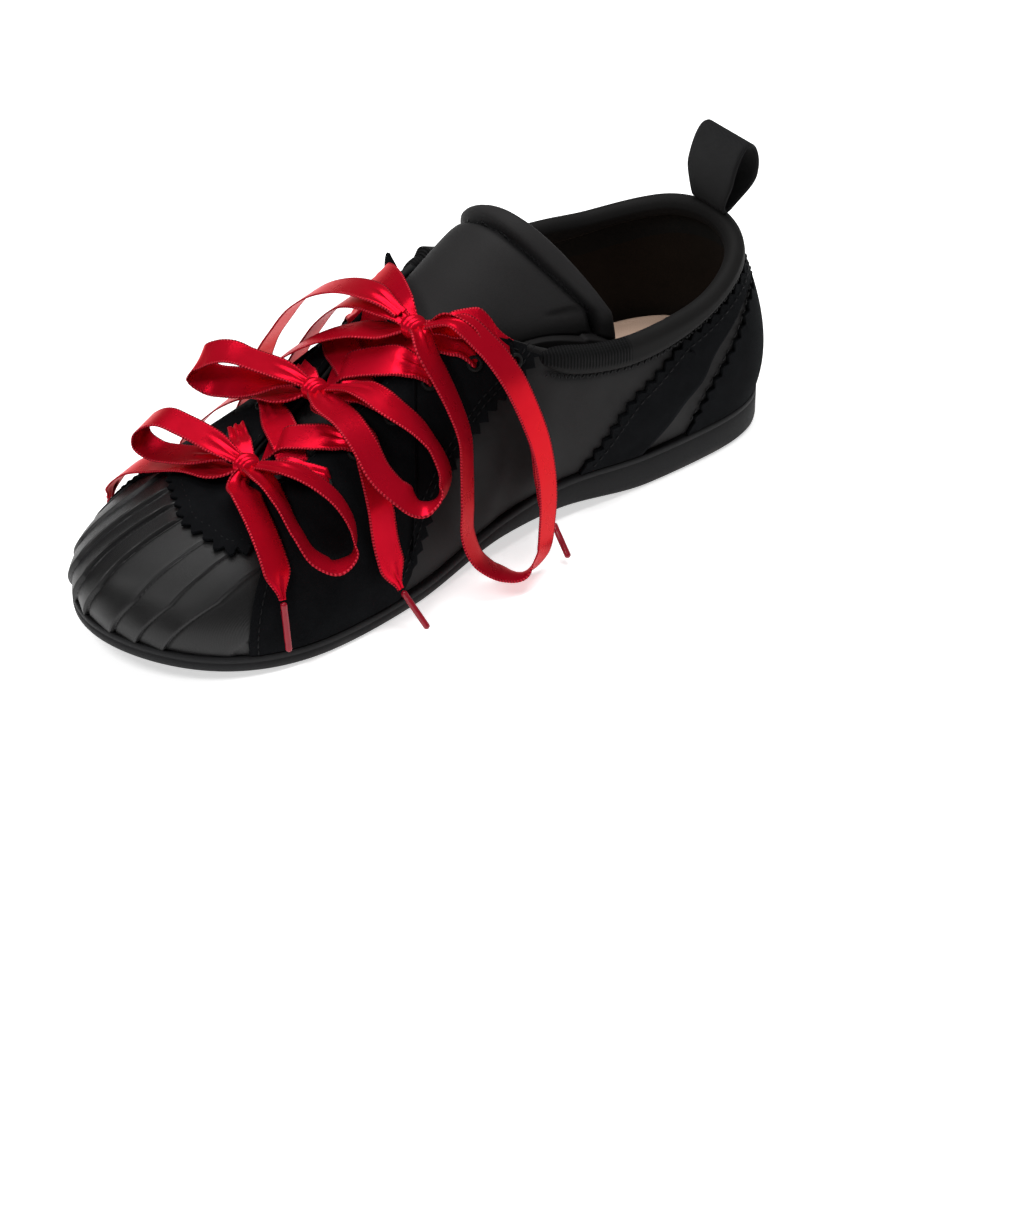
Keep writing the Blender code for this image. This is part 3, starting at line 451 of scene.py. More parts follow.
def creased(point):
    """Lift of the cloth at a point: a bell-shaped trough along each crease, with a low ridge beside it."""
    lift = np.zeros(point.shape[:-1])
    for side, along, height, far_along, far_height, depth, half in CREASES:
        run = np.array([far_along - along, far_height - height])
        off = np.stack([point[..., 0] - along, point[..., 2] - height], -1)
        share = (off @ run) / (run @ run)
        across = (off[..., 0] * run[1] - off[..., 1] * run[0]) / np.linalg.norm(run)
        fade = ease(share, -0.25, 0.25) * (1 - ease(share, 0.75, 1.25)) * (side * point[..., 1] > 4)
        ridge = CREASE_RIDGE * np.exp(-((across - CREASE_RIDGE_AT * half) / half) ** 2)
        lift += fade * depth * (ridge - np.exp(-(across / half) ** 2))
    return lift


def skin(around, up, lift=0.0):
    """Point of the last, creases included, moved along its outward normal by lift."""
    point = last_point(around, up)
    rise = last_point(around, up + UP_NUDGE) - last_point(around, up - UP_NUDGE)
    run = last_point(around + AROUND_NUDGE, up) - last_point(around - AROUND_NUDGE, up)
    normal = unit(np.cross(rise, run))
    return point + (np.asarray(lift) + creased(point))[..., None] * normal


RIM_SEARCH = np.linspace(0.3, 1.0, 561)


def rim(around):
    """Share up each section line where it first enters the collar mouth or the throat slot."""
    around = np.atleast_1d(np.asarray(around, float))
    along, across, height = np.moveaxis(last_point(around[:, None], RIM_SEARCH[None, :]), -1, 0)
    edge = open_spline(COLLAR, along)
    side = 0.5 + 0.5 * np.tanh(across / SIDE_BLEND)
    mouth = height - (side * edge[..., 0] + (1 - side) * edge[..., 1])
    throat = open_spline(THROAT, along)
    past = np.clip((along - THROAT_END + THROAT_ROUND) / THROAT_ROUND, 0, 1)
    slot = throat[..., 1] * np.sqrt(1 - past ** 2) - np.abs(across - throat[..., 0])
    slot = np.where((along > THROAT_START) & (along < THROAT_END), slot, -1.0)
    inside = np.maximum(mouth, slot)
    first = np.argmax(inside > 0, axis=1)
    pick = np.arange(len(around))
    low, high = inside[pick, first - 1], inside[pick, first]
    return RIM_SEARCH[first - 1] + (RIM_SEARCH[1] - RIM_SEARCH[0]) * low / (low - high)


def share_of(around, up, distance):
    """Change of up that moves a point by a distance in millimetres along its section line."""
    pace = last_point(around, up + PACE_NUDGE) - last_point(around, up - PACE_NUDGE)
    return distance * 2 * PACE_NUDGE / np.linalg.norm(pace, axis=-1)


def from_heel(around):
    """Share of the way round from the heel back, by the nearer side."""
    return np.abs(np.mod(around + 0.5, 1.0) - 0.5)


def binding_depth(around):
    """How far the collar roll reaches below the cut edge: deepest in front, slim round the heel."""
    return ROLL_DEPTH + ROLL_DEPTH_GAIN * ease(from_heel(around), *ROLL_DEPTH_EASE)


stretch_cloth, shader, spot = new_finish(
    "stretch_cloth", **{"Sheen Weight": 0.015, "Sheen Roughness": 0.45, "Specular IOR Level": 0.10})
inside = spot.mark("inside")
below = spot.mark("below")
groove_shade = spot.mark("groove_shade")
loops = spot.noise(3200, 2)
cloud = spot.noise(70, 3)
cloth = (cloud * 0.6 + loops * 0.4).tint((0.0125, 0.0120, 0.0122, 1), (0.0215, 0.0207, 0.0210, 1))
hide = cloud.tint((0.0070, 0.0050, 0.0036, 1), (0.0140, 0.0100, 0.0072, 1))
lining = below.between(13.0, 13.6).tint((0.0060, 0.0075, 0.0080, 1), hide)
# Painted shade: the groove mark darkens the cloth to near black in a band under the collar roll and along the
# tongue's seam dip and wing crease.
wear(shader, groove_shade.tint(inside.tint(cloth, lining), (0.0030, 0.0030, 0.0032, 1)), 0.60 + loops * 0.12,
     loops * 0.07 + cloud * 0.05)

top = rim(ring_at)
share = np.linspace(0, 1, UPPER_ROWS)[:, None]
up = WALL_FOOT + share * (top - WALL_FOOT)
ring_grid = np.broadcast_to(ring_at, up.shape)
outer = skin(ring_grid, up)
inner = skin(ring_grid, up, -WALL)
reach = np.linalg.norm(np.diff(outer, axis=0), axis=-1).sum(0)
wall = np.concatenate([outer, inner[::-1]])
# A band of painted shade just below the collar roll, on the outer face only, fading out round the heel.
shade_under_roll = np.exp(-(((1 - share) * reach - binding_depth(ring_at) - SHADE_UNDER_ROLL_WIDE) / SHADE_UNDER_ROLL_WIDE) ** 2)
shade_under_roll = shade_under_roll * (1 - ease(from_heel(ring_at), *SHADE_UNDER_ROLL_END))
marks = {
    "inside": np.concatenate([np.zeros(up.shape), np.ones(up.shape)]),
    "below": np.concatenate([(1 - share) * reach, share * reach]),
    "groove_shade": np.concatenate([shade_under_roll, np.zeros(up.shape)]),
}
body = make_piece("cloth_upper", wall, grid_faces(*wall.shape[:2], True, True), stretch_cloth, marks=marks)
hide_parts("upper")

# Toe cap. Black satin laid in one-way knife pleats along the foot, each fold open to the medial
# side, stitched down under the vamp and drawn in under the feather edge.
CAP_FOOT = (0.4105, 0.5805)
CAP_TOP = (0.4225, 0.5575)
CAP_ROWS = 110
CAP_COLUMNS = 430
CAP_LIFT = 0.55
CAP_TUCK = 5.0
SHEET_FOOT = 0.006
FOLD_EDGE = 0.09
FOLD_CURVE = 1.4
FOLD_PIT = 0.35
FOLD_PIT_WIDE = 0.05
FOLD_WANDER = 0.25
FOLD_CALM = 0.6
UNDER_VAMP = (0.86, 0.93)
SHOULDER = 25.0
SHOULDER_EASE = (1.0, 7.0)
FOLD_LEAN = 0.5
# Where each fold's edge runs. Columns: across, height of the fold, its gain below the shoulder.
FOLDS = np.array([
    [-42, 0.3, 0.0],
    [-34, 0.4, 0.0],
    [-26, 0.5, 0.0],
    [-16.5, 0.8, 0.0],
    [-7.5, 1.5, 0.0],
    [0.0, 1.5, 0.0],
    [7.5, 1.4, 0.0],
    [19.0, 0.50, 0.7],
    [26.6, 0.42, 0.7],
    [33.5, 0.42, 0.6],
    [46, 0.2, 0.2],
])
# Edge of the vamp from its medial top corner round the toe to the lateral one. Columns: around, up.
VAMP_EDGE = np.array([
    [0.214, 0.600],
    [0.226, 0.540],
    [0.251, 0.485],
    [0.279, 0.394],
    [0.296, 0.294],
    [0.310, 0.112],
    [0.318, 0.010],
    [0.4105, 0.010],
    [0.4125, 0.150],
    [0.4165, 0.360],
    [0.4225, 0.450],
    [0.439, 0.440],
    [0.449, 0.456],
    [0.463, 0.500],
    [0.478, 0.520],
    [0.500, 0.560],
    [0.515, 0.560],
    [0.530, 0.550],
    [0.545, 0.530],
    [0.558, 0.480],
    [0.567, 0.400],
    [0.572, 0.300],
    [0.576, 0.180],
    [0.579, 0.080],
    [0.581, 0.010],
    [0.672, 0.010],
    [0.680, 0.112],
    [0.692, 0.294],
    [0.706, 0.394],
    [0.728, 0.485],
    [0.744, 0.560],
    [0.752, 0.600],
])

satin, shader, spot = new_finish("pleated_satin", **{"Specular IOR Level": 0.25})
fold = spot.mark("fold")
threads = spot.node("TexWave", {"Vector": spot, "Scale": 900.0, "Distortion": 1.5, "Detail": 1.0},
                    bands_direction="X")
cloud = spot.noise(90, 3)
# Painted highlight: each fold's crest just before its drop is lighter. Painted shade: the foot of each drop
# is near black, and rougher.
painted_crest_highlight = fold.between(0.80, 0.96)
pit_shade = 1 - fold.between(0.01, 0.10)
shade = (cloud * 0.7 + threads * 0.3).tint((0.0045, 0.0044, 0.0045, 1), (0.0088, 0.0085, 0.0087, 1))
shade = pit_shade.tint(painted_crest_highlight.tint(shade, (0.013, 0.0126, 0.013, 1)), (0.0012, 0.0012, 0.0013, 1))
wear(shader, shade, 0.36 + cloud * 0.14 + pit_shade * 0.4, threads * 0.035 + cloud * 0.04)


def folded(along, across, height):
    """Lift of a knife pleat: it climbs across each fold and drops at the fold's medial edge.

    Each fold keeps to a line along the foot, and below the shoulder of the toe it leans to the lateral side.
    """
    low = np.clip(SHOULDER - height, 0, None)
    at = across + FOLD_LEAN * low + FOLD_WANDER * np.sin(along / 7.0 + across / 9.0)
    line = np.clip(np.searchsorted(FOLDS[:, 0], at) - 1, 0, len(FOLDS) - 2)
    share = (at - FOLDS[line, 0]) / (FOLDS[line + 1, 0] - FOLDS[line, 0])
    step = FOLDS[line + 1, 1] + FOLDS[line + 1, 2] * ease(low, *SHOULDER_EASE)
    drop = 1 - ease(share, 1 - FOLD_EDGE, 1.0)
    return step * (share ** FOLD_CURVE * drop - FOLD_PIT * np.exp(-(share / FOLD_PIT_WIDE) ** 2)), share


column = np.linspace(0, 1, CAP_COLUMNS)
foot_at, top_at = (low + (high - low) * column for low, high in (CAP_FOOT, CAP_TOP))
cap_top = np.interp(top_at, VAMP_EDGE[:, 0], VAMP_EDGE[:, 1])
cap_top = cap_top + share_of(top_at, cap_top, CAP_TUCK)
row = np.linspace(0, 1, CAP_ROWS)[:, None]
up = SHEET_FOOT + row * (cap_top - SHEET_FOOT)
cap_at = foot_at + row ** 2 * (top_at - foot_at)
flat = last_point(cap_at, up)
lift, share = folded(*np.moveaxis(flat, -1, 0))
cap = skin(cap_at, up, CAP_LIFT + lift * (1 - FOLD_CALM * ease(row, *UNDER_VAMP)))
toe_cap = make_piece("pleated_toe_cap", cap, grid_faces(*cap.shape[:2]), satin, marks={"fold": share},
                     closed=False)
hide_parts("toe_cap")

# Vamp and eyestays. One piece of blue-black suede from the toe cap round both sides of the throat,
# its free edges pinked, sewn down with two rows of waxed thread.
SUEDE_LIFT = 1.5
SUEDE_THICK = 1.2
TOOTH_PITCH = 4.4
TOOTH_DEPTH = 2.4
TOOTH_COLUMNS = 10
PINKED_MARGIN = 6.0
VAMP_ROWS = (10, 36)
BIB_START = (0.421, 0.427)
BIB_END = (0.549, 0.557)
REAR_MEDIAL = (0.300, 0.316)
REAR_LATERAL = (0.674, 0.690)
REAR_FOOT = (0.03, 0.15)
BIB_LIFT = 0.9
EAR_AT = 0.743
EAR_WIDE = 0.014
EAR_RISE = 4.0
EAR_STAND = 5.0
EAR_ROWS = 9
THROAT_GAP = 0.3
MARGIN_UP = 0.03
MARGIN_INSET = 0.002
MARGIN_BELOW = 0.02

suede, shader, spot = new_finish(
    "brushed_suede", **{"Sheen Weight": 0.006, "Sheen Roughness": 0.5, "Sheen Tint": (0.60, 0.80, 1.0, 1),
                        "Specular IOR Level": 0.04})
nap = spot.noise(150, 4, 0.6)
fibre = spot.noise(3600, 3, 0.7)
brush = spot.noise(28, 3)
wear(shader, (nap * 0.45 + fibre * 0.25 + brush * 0.3).between(0.25, 0.75).tint(
    (0.0018, 0.0019, 0.0022, 1), (0.0056, 0.0059, 0.0067, 1)), 0.86 + fibre * 0.14, fibre * 0.16 + nap * 0.05)


def run_along(points):
    """Distance of each point of a line from its first point, summed step by step."""
    return np.concatenate([[0], np.cumsum(np.linalg.norm(np.diff(points, axis=0), axis=1))])


def surface_run(curve):
    """Distance in millimetres along a curve of around and up on the last."""
    return run_along(last_point(curve[:, 0], curve[:, 1]))


def resample(curve, step):
    """The same curve at even steps of about the given millimetres."""
    fine = np.concatenate([np.linspace(a, b, 24, endpoint=False) for a, b in zip(curve[:-1], curve[1:])])
    fine = np.concatenate([fine, curve[-1:]])
    run = surface_run(fine)
    even = np.linspace(0, run[-1], int(np.ceil(run[-1] / step)) + 1)
    return np.column_stack([np.interp(even, run, fine[:, k]) for k in (0, 1)])


def sideways(curve, distance):
    """A curve on the last moved square to itself in the surface, to its left, by distances in millimetres.

    The move is written in the two slopes of the surface, which gives two equations for around and up.
    """
    around, up = curve[:, 0], curve[:, 1]
    by_around = (last_point(around + 0.001, up) - last_point(around - 0.001, up)) / 0.002
    by_up = (last_point(around, up + UP_NUDGE) - last_point(around, up - UP_NUDGE)) / (2 * UP_NUDGE)
    run = np.gradient(last_point(around, up), axis=0)
    side = unit(np.cross(np.cross(by_up, by_around), run)) * np.broadcast_to(distance, len(curve))[:, None]
    square_around, square_up, mixed, move_around, move_up = (
        (first * second).sum(1) for first, second in (
            (by_around, by_around), (by_up, by_up), (by_around, by_up), (side, by_around), (side, by_up)))
    area = square_around * square_up - mixed ** 2
    return curve + np.column_stack([(square_up * move_around - mixed * move_up) / area,
                                    (square_around * move_up - mixed * move_around) / area])


def teeth(run, depth=TOOTH_DEPTH):
    """Saw edge: a triangle wave along the run, from minus to plus half the depth."""
    return depth * (np.abs(np.mod(run / TOOTH_PITCH, 1.0) - 0.5) * 2 - 0.5)


def patch(curves, rows):
    """Around and up on a grid drawn straight from each curve to the next, with a count of rows for each."""
    parts = [curves[0][None]]
    for low, high, count in zip(curves[:-1], curves[1:], rows):
        share = np.linspace(0, 1, count + 1)[1:, None, None]
        parts.append(low + share * (high - low))
    grid = np.concatenate(parts)
    return grid[..., 0], grid[..., 1]


def solid(piece, thick, offset=-1.0):
    """Gives a sheet its thickness, on the inner side or, at no offset, about its middle."""
    wall = piece.modifiers.new("thickness", "SOLIDIFY")
    wall.thickness = thick / 1000
    wall.offset = offset


def overlay(name, grid, lift):
    """Suede over a grid of around and up, at a lift from the last, with its thickness on the inner side."""
    points = skin(*grid, lift)
    piece = make_piece(name, points, grid_faces(*points.shape[:2]), suede, closed=False)
    solid(piece, SUEDE_THICK)
    return piece


edge = resample(VAMP_EDGE, TOOTH_PITCH / TOOTH_COLUMNS)
run = surface_run(edge)
bib = ease(edge[:, 0], *BIB_START) * (1 - ease(edge[:, 0], *BIB_END))
rear = (1 - ease(edge[:, 0], *REAR_MEDIAL)) + ease(edge[:, 0], *REAR_LATERAL)
rear = rear * ease(edge[:, 1], *REAR_FOOT)
pinked = np.clip(bib + rear, 0, 1)
toothed = sideways(edge, teeth(run) * pinked)
toothed[:, 1] = np.maximum(toothed[:, 1], SHEET_FOOT)
margin = sideways(edge, -PINKED_MARGIN * rear)
margin[:, 1] += MARGIN_UP * (1 - rear)
margin[:, 0] = np.clip(margin[:, 0], edge[0, 0] + MARGIN_INSET, edge[-1, 0] - MARGIN_INSET)
top_edge = rim(margin[:, 0])
top_edge = top_edge - share_of(margin[:, 0], top_edge, THROAT_GAP)
margin[:, 1] = np.minimum(margin[:, 1], top_edge - MARGIN_BELOW)
ear = np.exp(-((margin[:, 0] - EAR_AT) / EAR_WIDE) ** 4)
top_edge = top_edge + share_of(margin[:, 0], top_edge, EAR_RISE) * ear
last_row = sum(VAMP_ROWS)
row = np.arange(last_row + 1)[:, None]
over_cap = bib * (1 - ease(row, VAMP_ROWS[0] + 2, last_row * 0.6))
standing = ear * ease(row, last_row - EAR_ROWS, last_row)
vamp_grid = patch([toothed, margin, np.column_stack([margin[:, 0], top_edge])], VAMP_ROWS)
vamp = overlay("suede_vamp", vamp_grid, SUEDE_LIFT + BIB_LIFT * over_cap + EAR_STAND * standing)
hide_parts("vamp")

# Quarter band and heel counter. Two more suede overlays: a band from the heel back under the collar
# down to the waist on each side, pinked on its front edge, and a counter pinked all along its top.
BAND_ROWS = (10, 8)
BAND_MARGIN = 4.0
BAND_FOOT = (0.02, 0.08)
ROLL_GAP = 1.4
COUNTER_ROWS = (18, 10)
COUNTER_FOOT = 0.012
# Columns: around and up of the front edge, around and up of the rear edge.
BAND = np.array([
    [0.000, 0.700, 0.000, 0.510],
    [0.036, 0.715, 0.028, 0.508],
    [0.064, 0.700, 0.052, 0.496],
    [0.0895, 0.556, 0.0715, 0.420],
    [0.1075, 0.465, 0.0875, 0.342],
    [0.127, 0.378, 0.0965, 0.250],
    [0.1425, 0.310, 0.109, 0.185],
    [0.158, 0.212, 0.120, 0.110],
    [0.176, 0.055, 0.132, 0.040],
    [0.179, 0.010, 0.136, 0.010],
])
# Columns: around, up.
COUNTER_EDGE = np.array([
    [0.0, 0.47],
    [0.030, 0.468],
    [0.051, 0.450],
    [0.065, 0.370],
    [0.078, 0.280],
    [0.096, 0.115],
    [0.103, 0.010],
])


both = np.concatenate([BAND[::-1], BAND[1:] * np.array([-1, 1, -1, 1])])
step = np.arange(len(both), dtype=float)
both = open_spline(np.column_stack([step, both]), np.linspace(0, step[-1], 400))
limit = rim(np.mod(both[:, 0], 1.0))
limit = limit - share_of(both[:, 0], limit, binding_depth(both[:, 0]) + ROLL_GAP)
both[:, 1] = np.clip(both[:, 1], 0.01, limit)
front = resample(both[:, :2], TOOTH_PITCH / TOOTH_COLUMNS)
front_run = surface_run(front)
share = surface_run(both[:, :2]) / front_run[-1]
rear = np.column_stack([np.interp(front_run / front_run[-1], share, both[:, k]) for k in (2, 3)])
ends = ease(front[:, 1], *BAND_FOOT)
front_edge = sideways(front, teeth(front_run) * ends)
front_edge[:, 1] = np.maximum(front_edge[:, 1], SHEET_FOOT)
rear[:, 1] = np.maximum(rear[:, 1], SHEET_FOOT)
front_margin = sideways(front, -BAND_MARGIN * ends)
band = overlay("suede_quarter_band", patch([rear, front_margin, front_edge], BAND_ROWS), SUEDE_LIFT)
band.data.flip_normals()
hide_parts("quarter_band")

reach = COUNTER_EDGE[-1, 0]
counter_at = np.linspace(-reach, reach, 300)
counter_up = open_spline(COUNTER_EDGE, np.abs(counter_at))[:, 0]
crest = resample(np.column_stack([counter_at, counter_up]), TOOTH_PITCH / TOOTH_COLUMNS)
crest_edge = sideways(crest, -teeth(surface_run(crest)) * ease(crest[:, 1], 0.03, 0.10))
crest_edge[:, 1] = np.maximum(crest_edge[:, 1], COUNTER_FOOT)
crest_margin = sideways(crest, PINKED_MARGIN * ease(crest[:, 1], COUNTER_FOOT, 0.15))
crest_margin[:, 1] = np.maximum(crest_margin[:, 1], 0.008)
foot = np.column_stack([np.linspace(-reach, reach, len(crest)), np.full(len(crest), SHEET_FOOT)])
counter = overlay("suede_heel_counter", patch([foot, crest_margin, crest_edge], COUNTER_ROWS), SUEDE_LIFT)
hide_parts("heel_counter")

# Stitching. Rows of black waxed thread that hold the overlays, each stitch a short swelling of the
# thread between two needle holes.
STITCH_PITCH = 2.7
STITCH_LONG = 2.0
STITCH_HALF = 0.26
STITCH_RINGS = 6
STITCH_SINK = 0.10
STITCH_LIFT = 0.1
BIB_STITCH_LIFT = 0.95
BIB_STITCH_FALL = 0.07
THROAT_SEAM = 2.6
THROAT_SEWN = (0.232, 0.736)
CAP_SEAM = 2.4
REAR_SEAMS = (3.2, 5.2)
BIB_SEAMS = (3.4, 5.4)
SINGLE_SEAM = 3.0
BAND_SEWN = 0.9
COUNTER_SEWN = 0.08
# Where the seams along the vamp's edge begin and end round the last.
REAR_SEWN = ((0.0, 0.3125), (0.6790, 1.0))
BIB_SEWN = (0.4265, 0.5500)
CAP_SEWN = ((0.4106, 0.4222), (0.5585, 0.5808))

thread, shader, spot = new_finish("waxed_thread", **{"Specular IOR Level": 0.1})
twist = spot.noise(2600, 2)
wear(shader, twist.tint((0.003, 0.003, 0.0033, 1), (0.008, 0.008, 0.0086, 1)), 0.45 + twist * 0.2,
     twist * 0.08)


def stitch_row(curve, lift):
    """Middles, runs and normals of the stitches at an even pitch along a curve on the last."""
    curve = resample(curve, STITCH_PITCH)
    middle = skin(curve[:, 0], curve[:, 1], lift)
    normal = skin(curve[:, 0], curve[:, 1], lift + 1.0) - middle
    run = np.gradient(middle, axis=0)
    return np.stack([middle, unit(run), normal], 1)


def sew(name, rows, half=STITCH_HALF):
    """Every stitch as a small spindle: circles along its run whose radius follows a half sine."""
    middle, run, normal = np.moveaxis(np.concatenate(rows), 1, 0)
    side = np.cross(run, normal)
    at = np.linspace(-0.5, 0.5, STITCH_RINGS)
    swell = half * np.sqrt(np.clip(np.cos(np.pi * at), 0.03, 1))
    turn = np.arange(STITCH_RINGS) * 2 * np.pi / STITCH_RINGS
    bow = -STITCH_SINK * (2 * at) ** 2
    points = (middle[:, None, None] + (STITCH_LONG * at)[:, None, None] * run[:, None, None]
              + (swell[:, None] * np.cos(turn))[..., None] * side[:, None, None]
              + (bow[:, None] + swell[:, None] * np.sin(turn))[..., None] * normal[:, None, None])
    one = np.array(grid_faces(STITCH_RINGS, STITCH_RINGS, wrap_columns=True))
    first = STITCH_RINGS ** 2 * np.arange(len(middle))
    faces = (one[None] + first[:, None, None]).reshape(-1, 4).tolist()
    piece = make_piece(name, points, faces, thread, closed=False)
    return piece


def edge_between(low, high):
    """The part of the vamp's edge between two shares of the way round."""
    return edge[(edge[:, 0] > low) & (edge[:, 0] < high)]


throat_at = np.linspace(*THROAT_SEWN, 300)
throat_top = rim(throat_at)
throat_line = np.column_stack([throat_at, throat_top - share_of(throat_at, throat_top, THROAT_SEAM)])
flush = SUEDE_LIFT + STITCH_LIFT
rows = [stitch_row(sideways(edge_between(*part), -gap), flush) for part in REAR_SEWN for gap in REAR_SEAMS]
rows += [stitch_row(sideways(edge_between(*BIB_SEWN), -gap),
                    SUEDE_LIFT + BIB_STITCH_LIFT - BIB_STITCH_FALL * gap) for gap in BIB_SEAMS]
rows += [stitch_row(sideways(edge_between(*part), -CAP_SEAM), flush) for part in CAP_SEWN]
rows += [stitch_row(throat_line, flush)]
rows += [stitch_row(sideways(line, -SINGLE_SEAM), flush)
         for line in (front[ends > BAND_SEWN], crest[crest[:, 1] > COUNTER_SEWN])]
sew("overlay_stitches", rows)

# Collar. A soft roll of foam wrapped in cloth and folded over the cut edge of the upper; its front
# is faced with black grosgrain, and a zig-zag seam closes it below.
ROLL_ENDS = (-0.251, 0.214)
ROLL_TAPER = 13.0
ROLL_COLUMNS = 420
ROLL_ROWS = 40
RIB_START = 0.150
RIB_EASE = 0.004
RIB_LOW = (-0.72, -0.62)
RIB_PER_MM = 5.7
SEAM_INSET = 0.004
SEAM_BELOW = 0.4
ZIGZAG_PITCH = 1.3
ZIGZAG_HALF = 0.9
ZIGZAG_LIFT = 1.0
ZIGZAG_THICK = 0.40
ROLL_TABLE_DEPTH = 9.0
# Section of the roll where it is 9 mm deep. Columns: rise above the cut edge, distance outside the last.
ROLL = np.array([
    [-9.0, 0.5],
    [-8.0, 1.7],
    [-4.5, 2.4],
    [0.3, 1.9],
    [1.9, -0.7],
    [0.3, -3.2],
    [-4.0, -4.0],
    [-7.6, -3.4],
    [-8.0, -2.5],
    [-8.6, -0.9],
])

collar_cloth, shader, spot = new_finish("collar_cloth", **{"Sheen Weight": 0.010, "Sheen Roughness": 0.4,
                                                           "Specular IOR Level": 0.07})
rib = spot.mark("rib")
cord_wave = (spot.node("UVMap", uv_map="strip").part(0) * RIB_PER_MM).wave()
loops = spot.noise(3200, 2)
cloud = spot.noise(80, 3)
plain = (cloud * 0.6 + loops * 0.4).tint((0.0062, 0.0060, 0.0060, 1), (0.0120, 0.0116, 0.0114, 1))
ribbed = cord_wave.tint((0.0016, 0.0016, 0.0018, 1), (0.0064, 0.0064, 0.0068, 1))
wear(shader, rib.tint(plain, ribbed), 0.58 + loops * 0.12,
     rib * cord_wave * 0.30 + (1 - rib) * (loops * 0.06 + cloud * 0.05))

roll_at = np.linspace(*ROLL_ENDS, ROLL_COLUMNS)
roll_edge = rim(np.mod(roll_at, 1.0))
gap = np.linalg.norm(np.roll(ROLL, -1, 0) - ROLL, axis=1)
section = closed_spline((np.cumsum(gap) - gap) / gap.sum(), ROLL, np.arange(ROLL_ROWS) / ROLL_ROWS)
roll_run = run_along(last_point(roll_at, roll_edge))
from_end = np.minimum(roll_run, roll_run[-1] - roll_run)
full = np.sqrt(1 - (1 - np.clip(from_end / ROLL_TAPER, 0.01, 1)) ** 2)
middle = section.mean(0)
rise = middle[0] + full * (section[:, :1] - middle[0])
rise = np.where(rise < 0, rise * binding_depth(roll_at) / ROLL_TABLE_DEPTH, rise)
lift = middle[1] + full * (section[:, 1:] - middle[1])
roll_grid = np.broadcast_to(roll_at, rise.shape)
roll = skin(roll_grid, roll_edge + rise * share_of(roll_at, roll_edge, 1.0), lift)
strip = np.stack([np.broadcast_to(roll_run, rise.shape),
                  np.broadcast_to(np.linspace(0, 1, ROLL_ROWS)[:, None], rise.shape)], -1)
number = np.arange(roll.shape[0] * roll.shape[1]).reshape(roll.shape[:2])
faces = grid_faces(*roll.shape[:2], wrap_rows=True) + cap_faces(number[:, 0]) + cap_faces(number[:, -1])
ribbed_part = ease(np.abs(roll_grid), RIB_START, RIB_START + RIB_EASE)
ribbed_part = ribbed_part * ease(rise / binding_depth(roll_at), *RIB_LOW)
collar = make_piece("padded_collar", roll, faces, collar_cloth, strip, {"rib": ribbed_part})
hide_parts("collar_binding")


def zigzag_row(curve, lift, pitch, wide):
    """Stitches that go from side to side of a curve on the last, each from one turn to the next."""
    curve = resample(curve, pitch)
    turns = sideways(curve, wide * (-1.0) ** np.arange(len(curve)))
    points = skin(turns[:, 0], turns[:, 1], lift)
    middle = 0.5 * (points[1:] + points[:-1])
    run = np.diff(points, axis=0)
    normal = skin(curve[1:, 0], curve[1:, 1], lift + 1.0) - skin(curve[1:, 0], curve[1:, 1], lift)
    return np.stack([middle, unit(run), normal], 1)


seam_at = np.linspace(ROLL_ENDS[0] + SEAM_INSET, ROLL_ENDS[1] - SEAM_INSET, 400)
seam_top = rim(np.mod(seam_at, 1.0))
seam = np.column_stack([seam_at, seam_top - share_of(seam_at, seam_top, binding_depth(seam_at) + SEAM_BELOW)])
sew("collar_seam", [zigzag_row(seam, ZIGZAG_LIFT, ZIGZAG_PITCH, ZIGZAG_HALF)], ZIGZAG_THICK)

# Tongue. A foam pad between two faces of the stretch cloth, slipped under the eyestays; a seam
# below its top edge leaves a thick rolled rim, and its medial wing is wrapped round in the collar.
TONGUE_WRAP = 75.0
TONGUE_ROWS = 170
TONGUE_COLUMNS = 130
TONGUE_WING = 1.5
WING_SWEEP = 0.15
TONGUE_PITCH = 2.2
TONGUE_STITCH = 0.42
RIM_PUFF = 2.1
SEAM_SINK = 1.7
SEAM_WIDE = 1.2
PAD_PUFF = 0.6
WING_CREASE = 0.8
WING_CREASE_AT = 0.97
WING_CREASE_WIDE = 0.03
WING_CREASE_START = (1.0, 4.0)
WING_CREASE_END = (11.0, 17.0)
EDGE_THINNING = 0.45
# Columns: along, across and height of its middle line, half width, fall of the medial and lateral
# edge, sweep of the medial and lateral edge to the heel, thickness.
TONGUE = np.array([
    [204, 9.5, 35.6, 13, 2.2, 1.2, 0.5, 0.5, 3.0],
    [190, 7.5, 39.2, 15, 2.6, 1.4, 1, 1, 3.0],
    [171, 3.5, 45.6, 17, 3, 2.6, 1, 1, 3.5],
    [157, 1, 51.8, 18, 4, 5, 2, 2, 4.0],
    [141, -2, 61.2, 18.5, 5, 8, 3, 4, 4.5],
    [128, -3, 70.0, 19, 8, 10, 6, 6, 5.0],
    [115, -3, 79.3, 20, 14, 11, 12, 8, 5.5],
    [104, -3, 86.4, 21, 22, 13, 15, 7, 6.5],
    [95.5, -3, 91.0, 22, 29, 16, 17, 5, 6.5],
    [91.2, -3, 92.8, 22.5, 33, 18.5, 17.5, 4.5, 5.5],
])
# The seam's distance below the top edge. Columns: place across from lateral -1 to medial 1, distance.
RIM_SEAM = np.array([
    [-1, 2.5],
    [-0.6, 5.5],
    [0, 8.0],
    [0.5, 9.0],
    [1, 9.5],
])

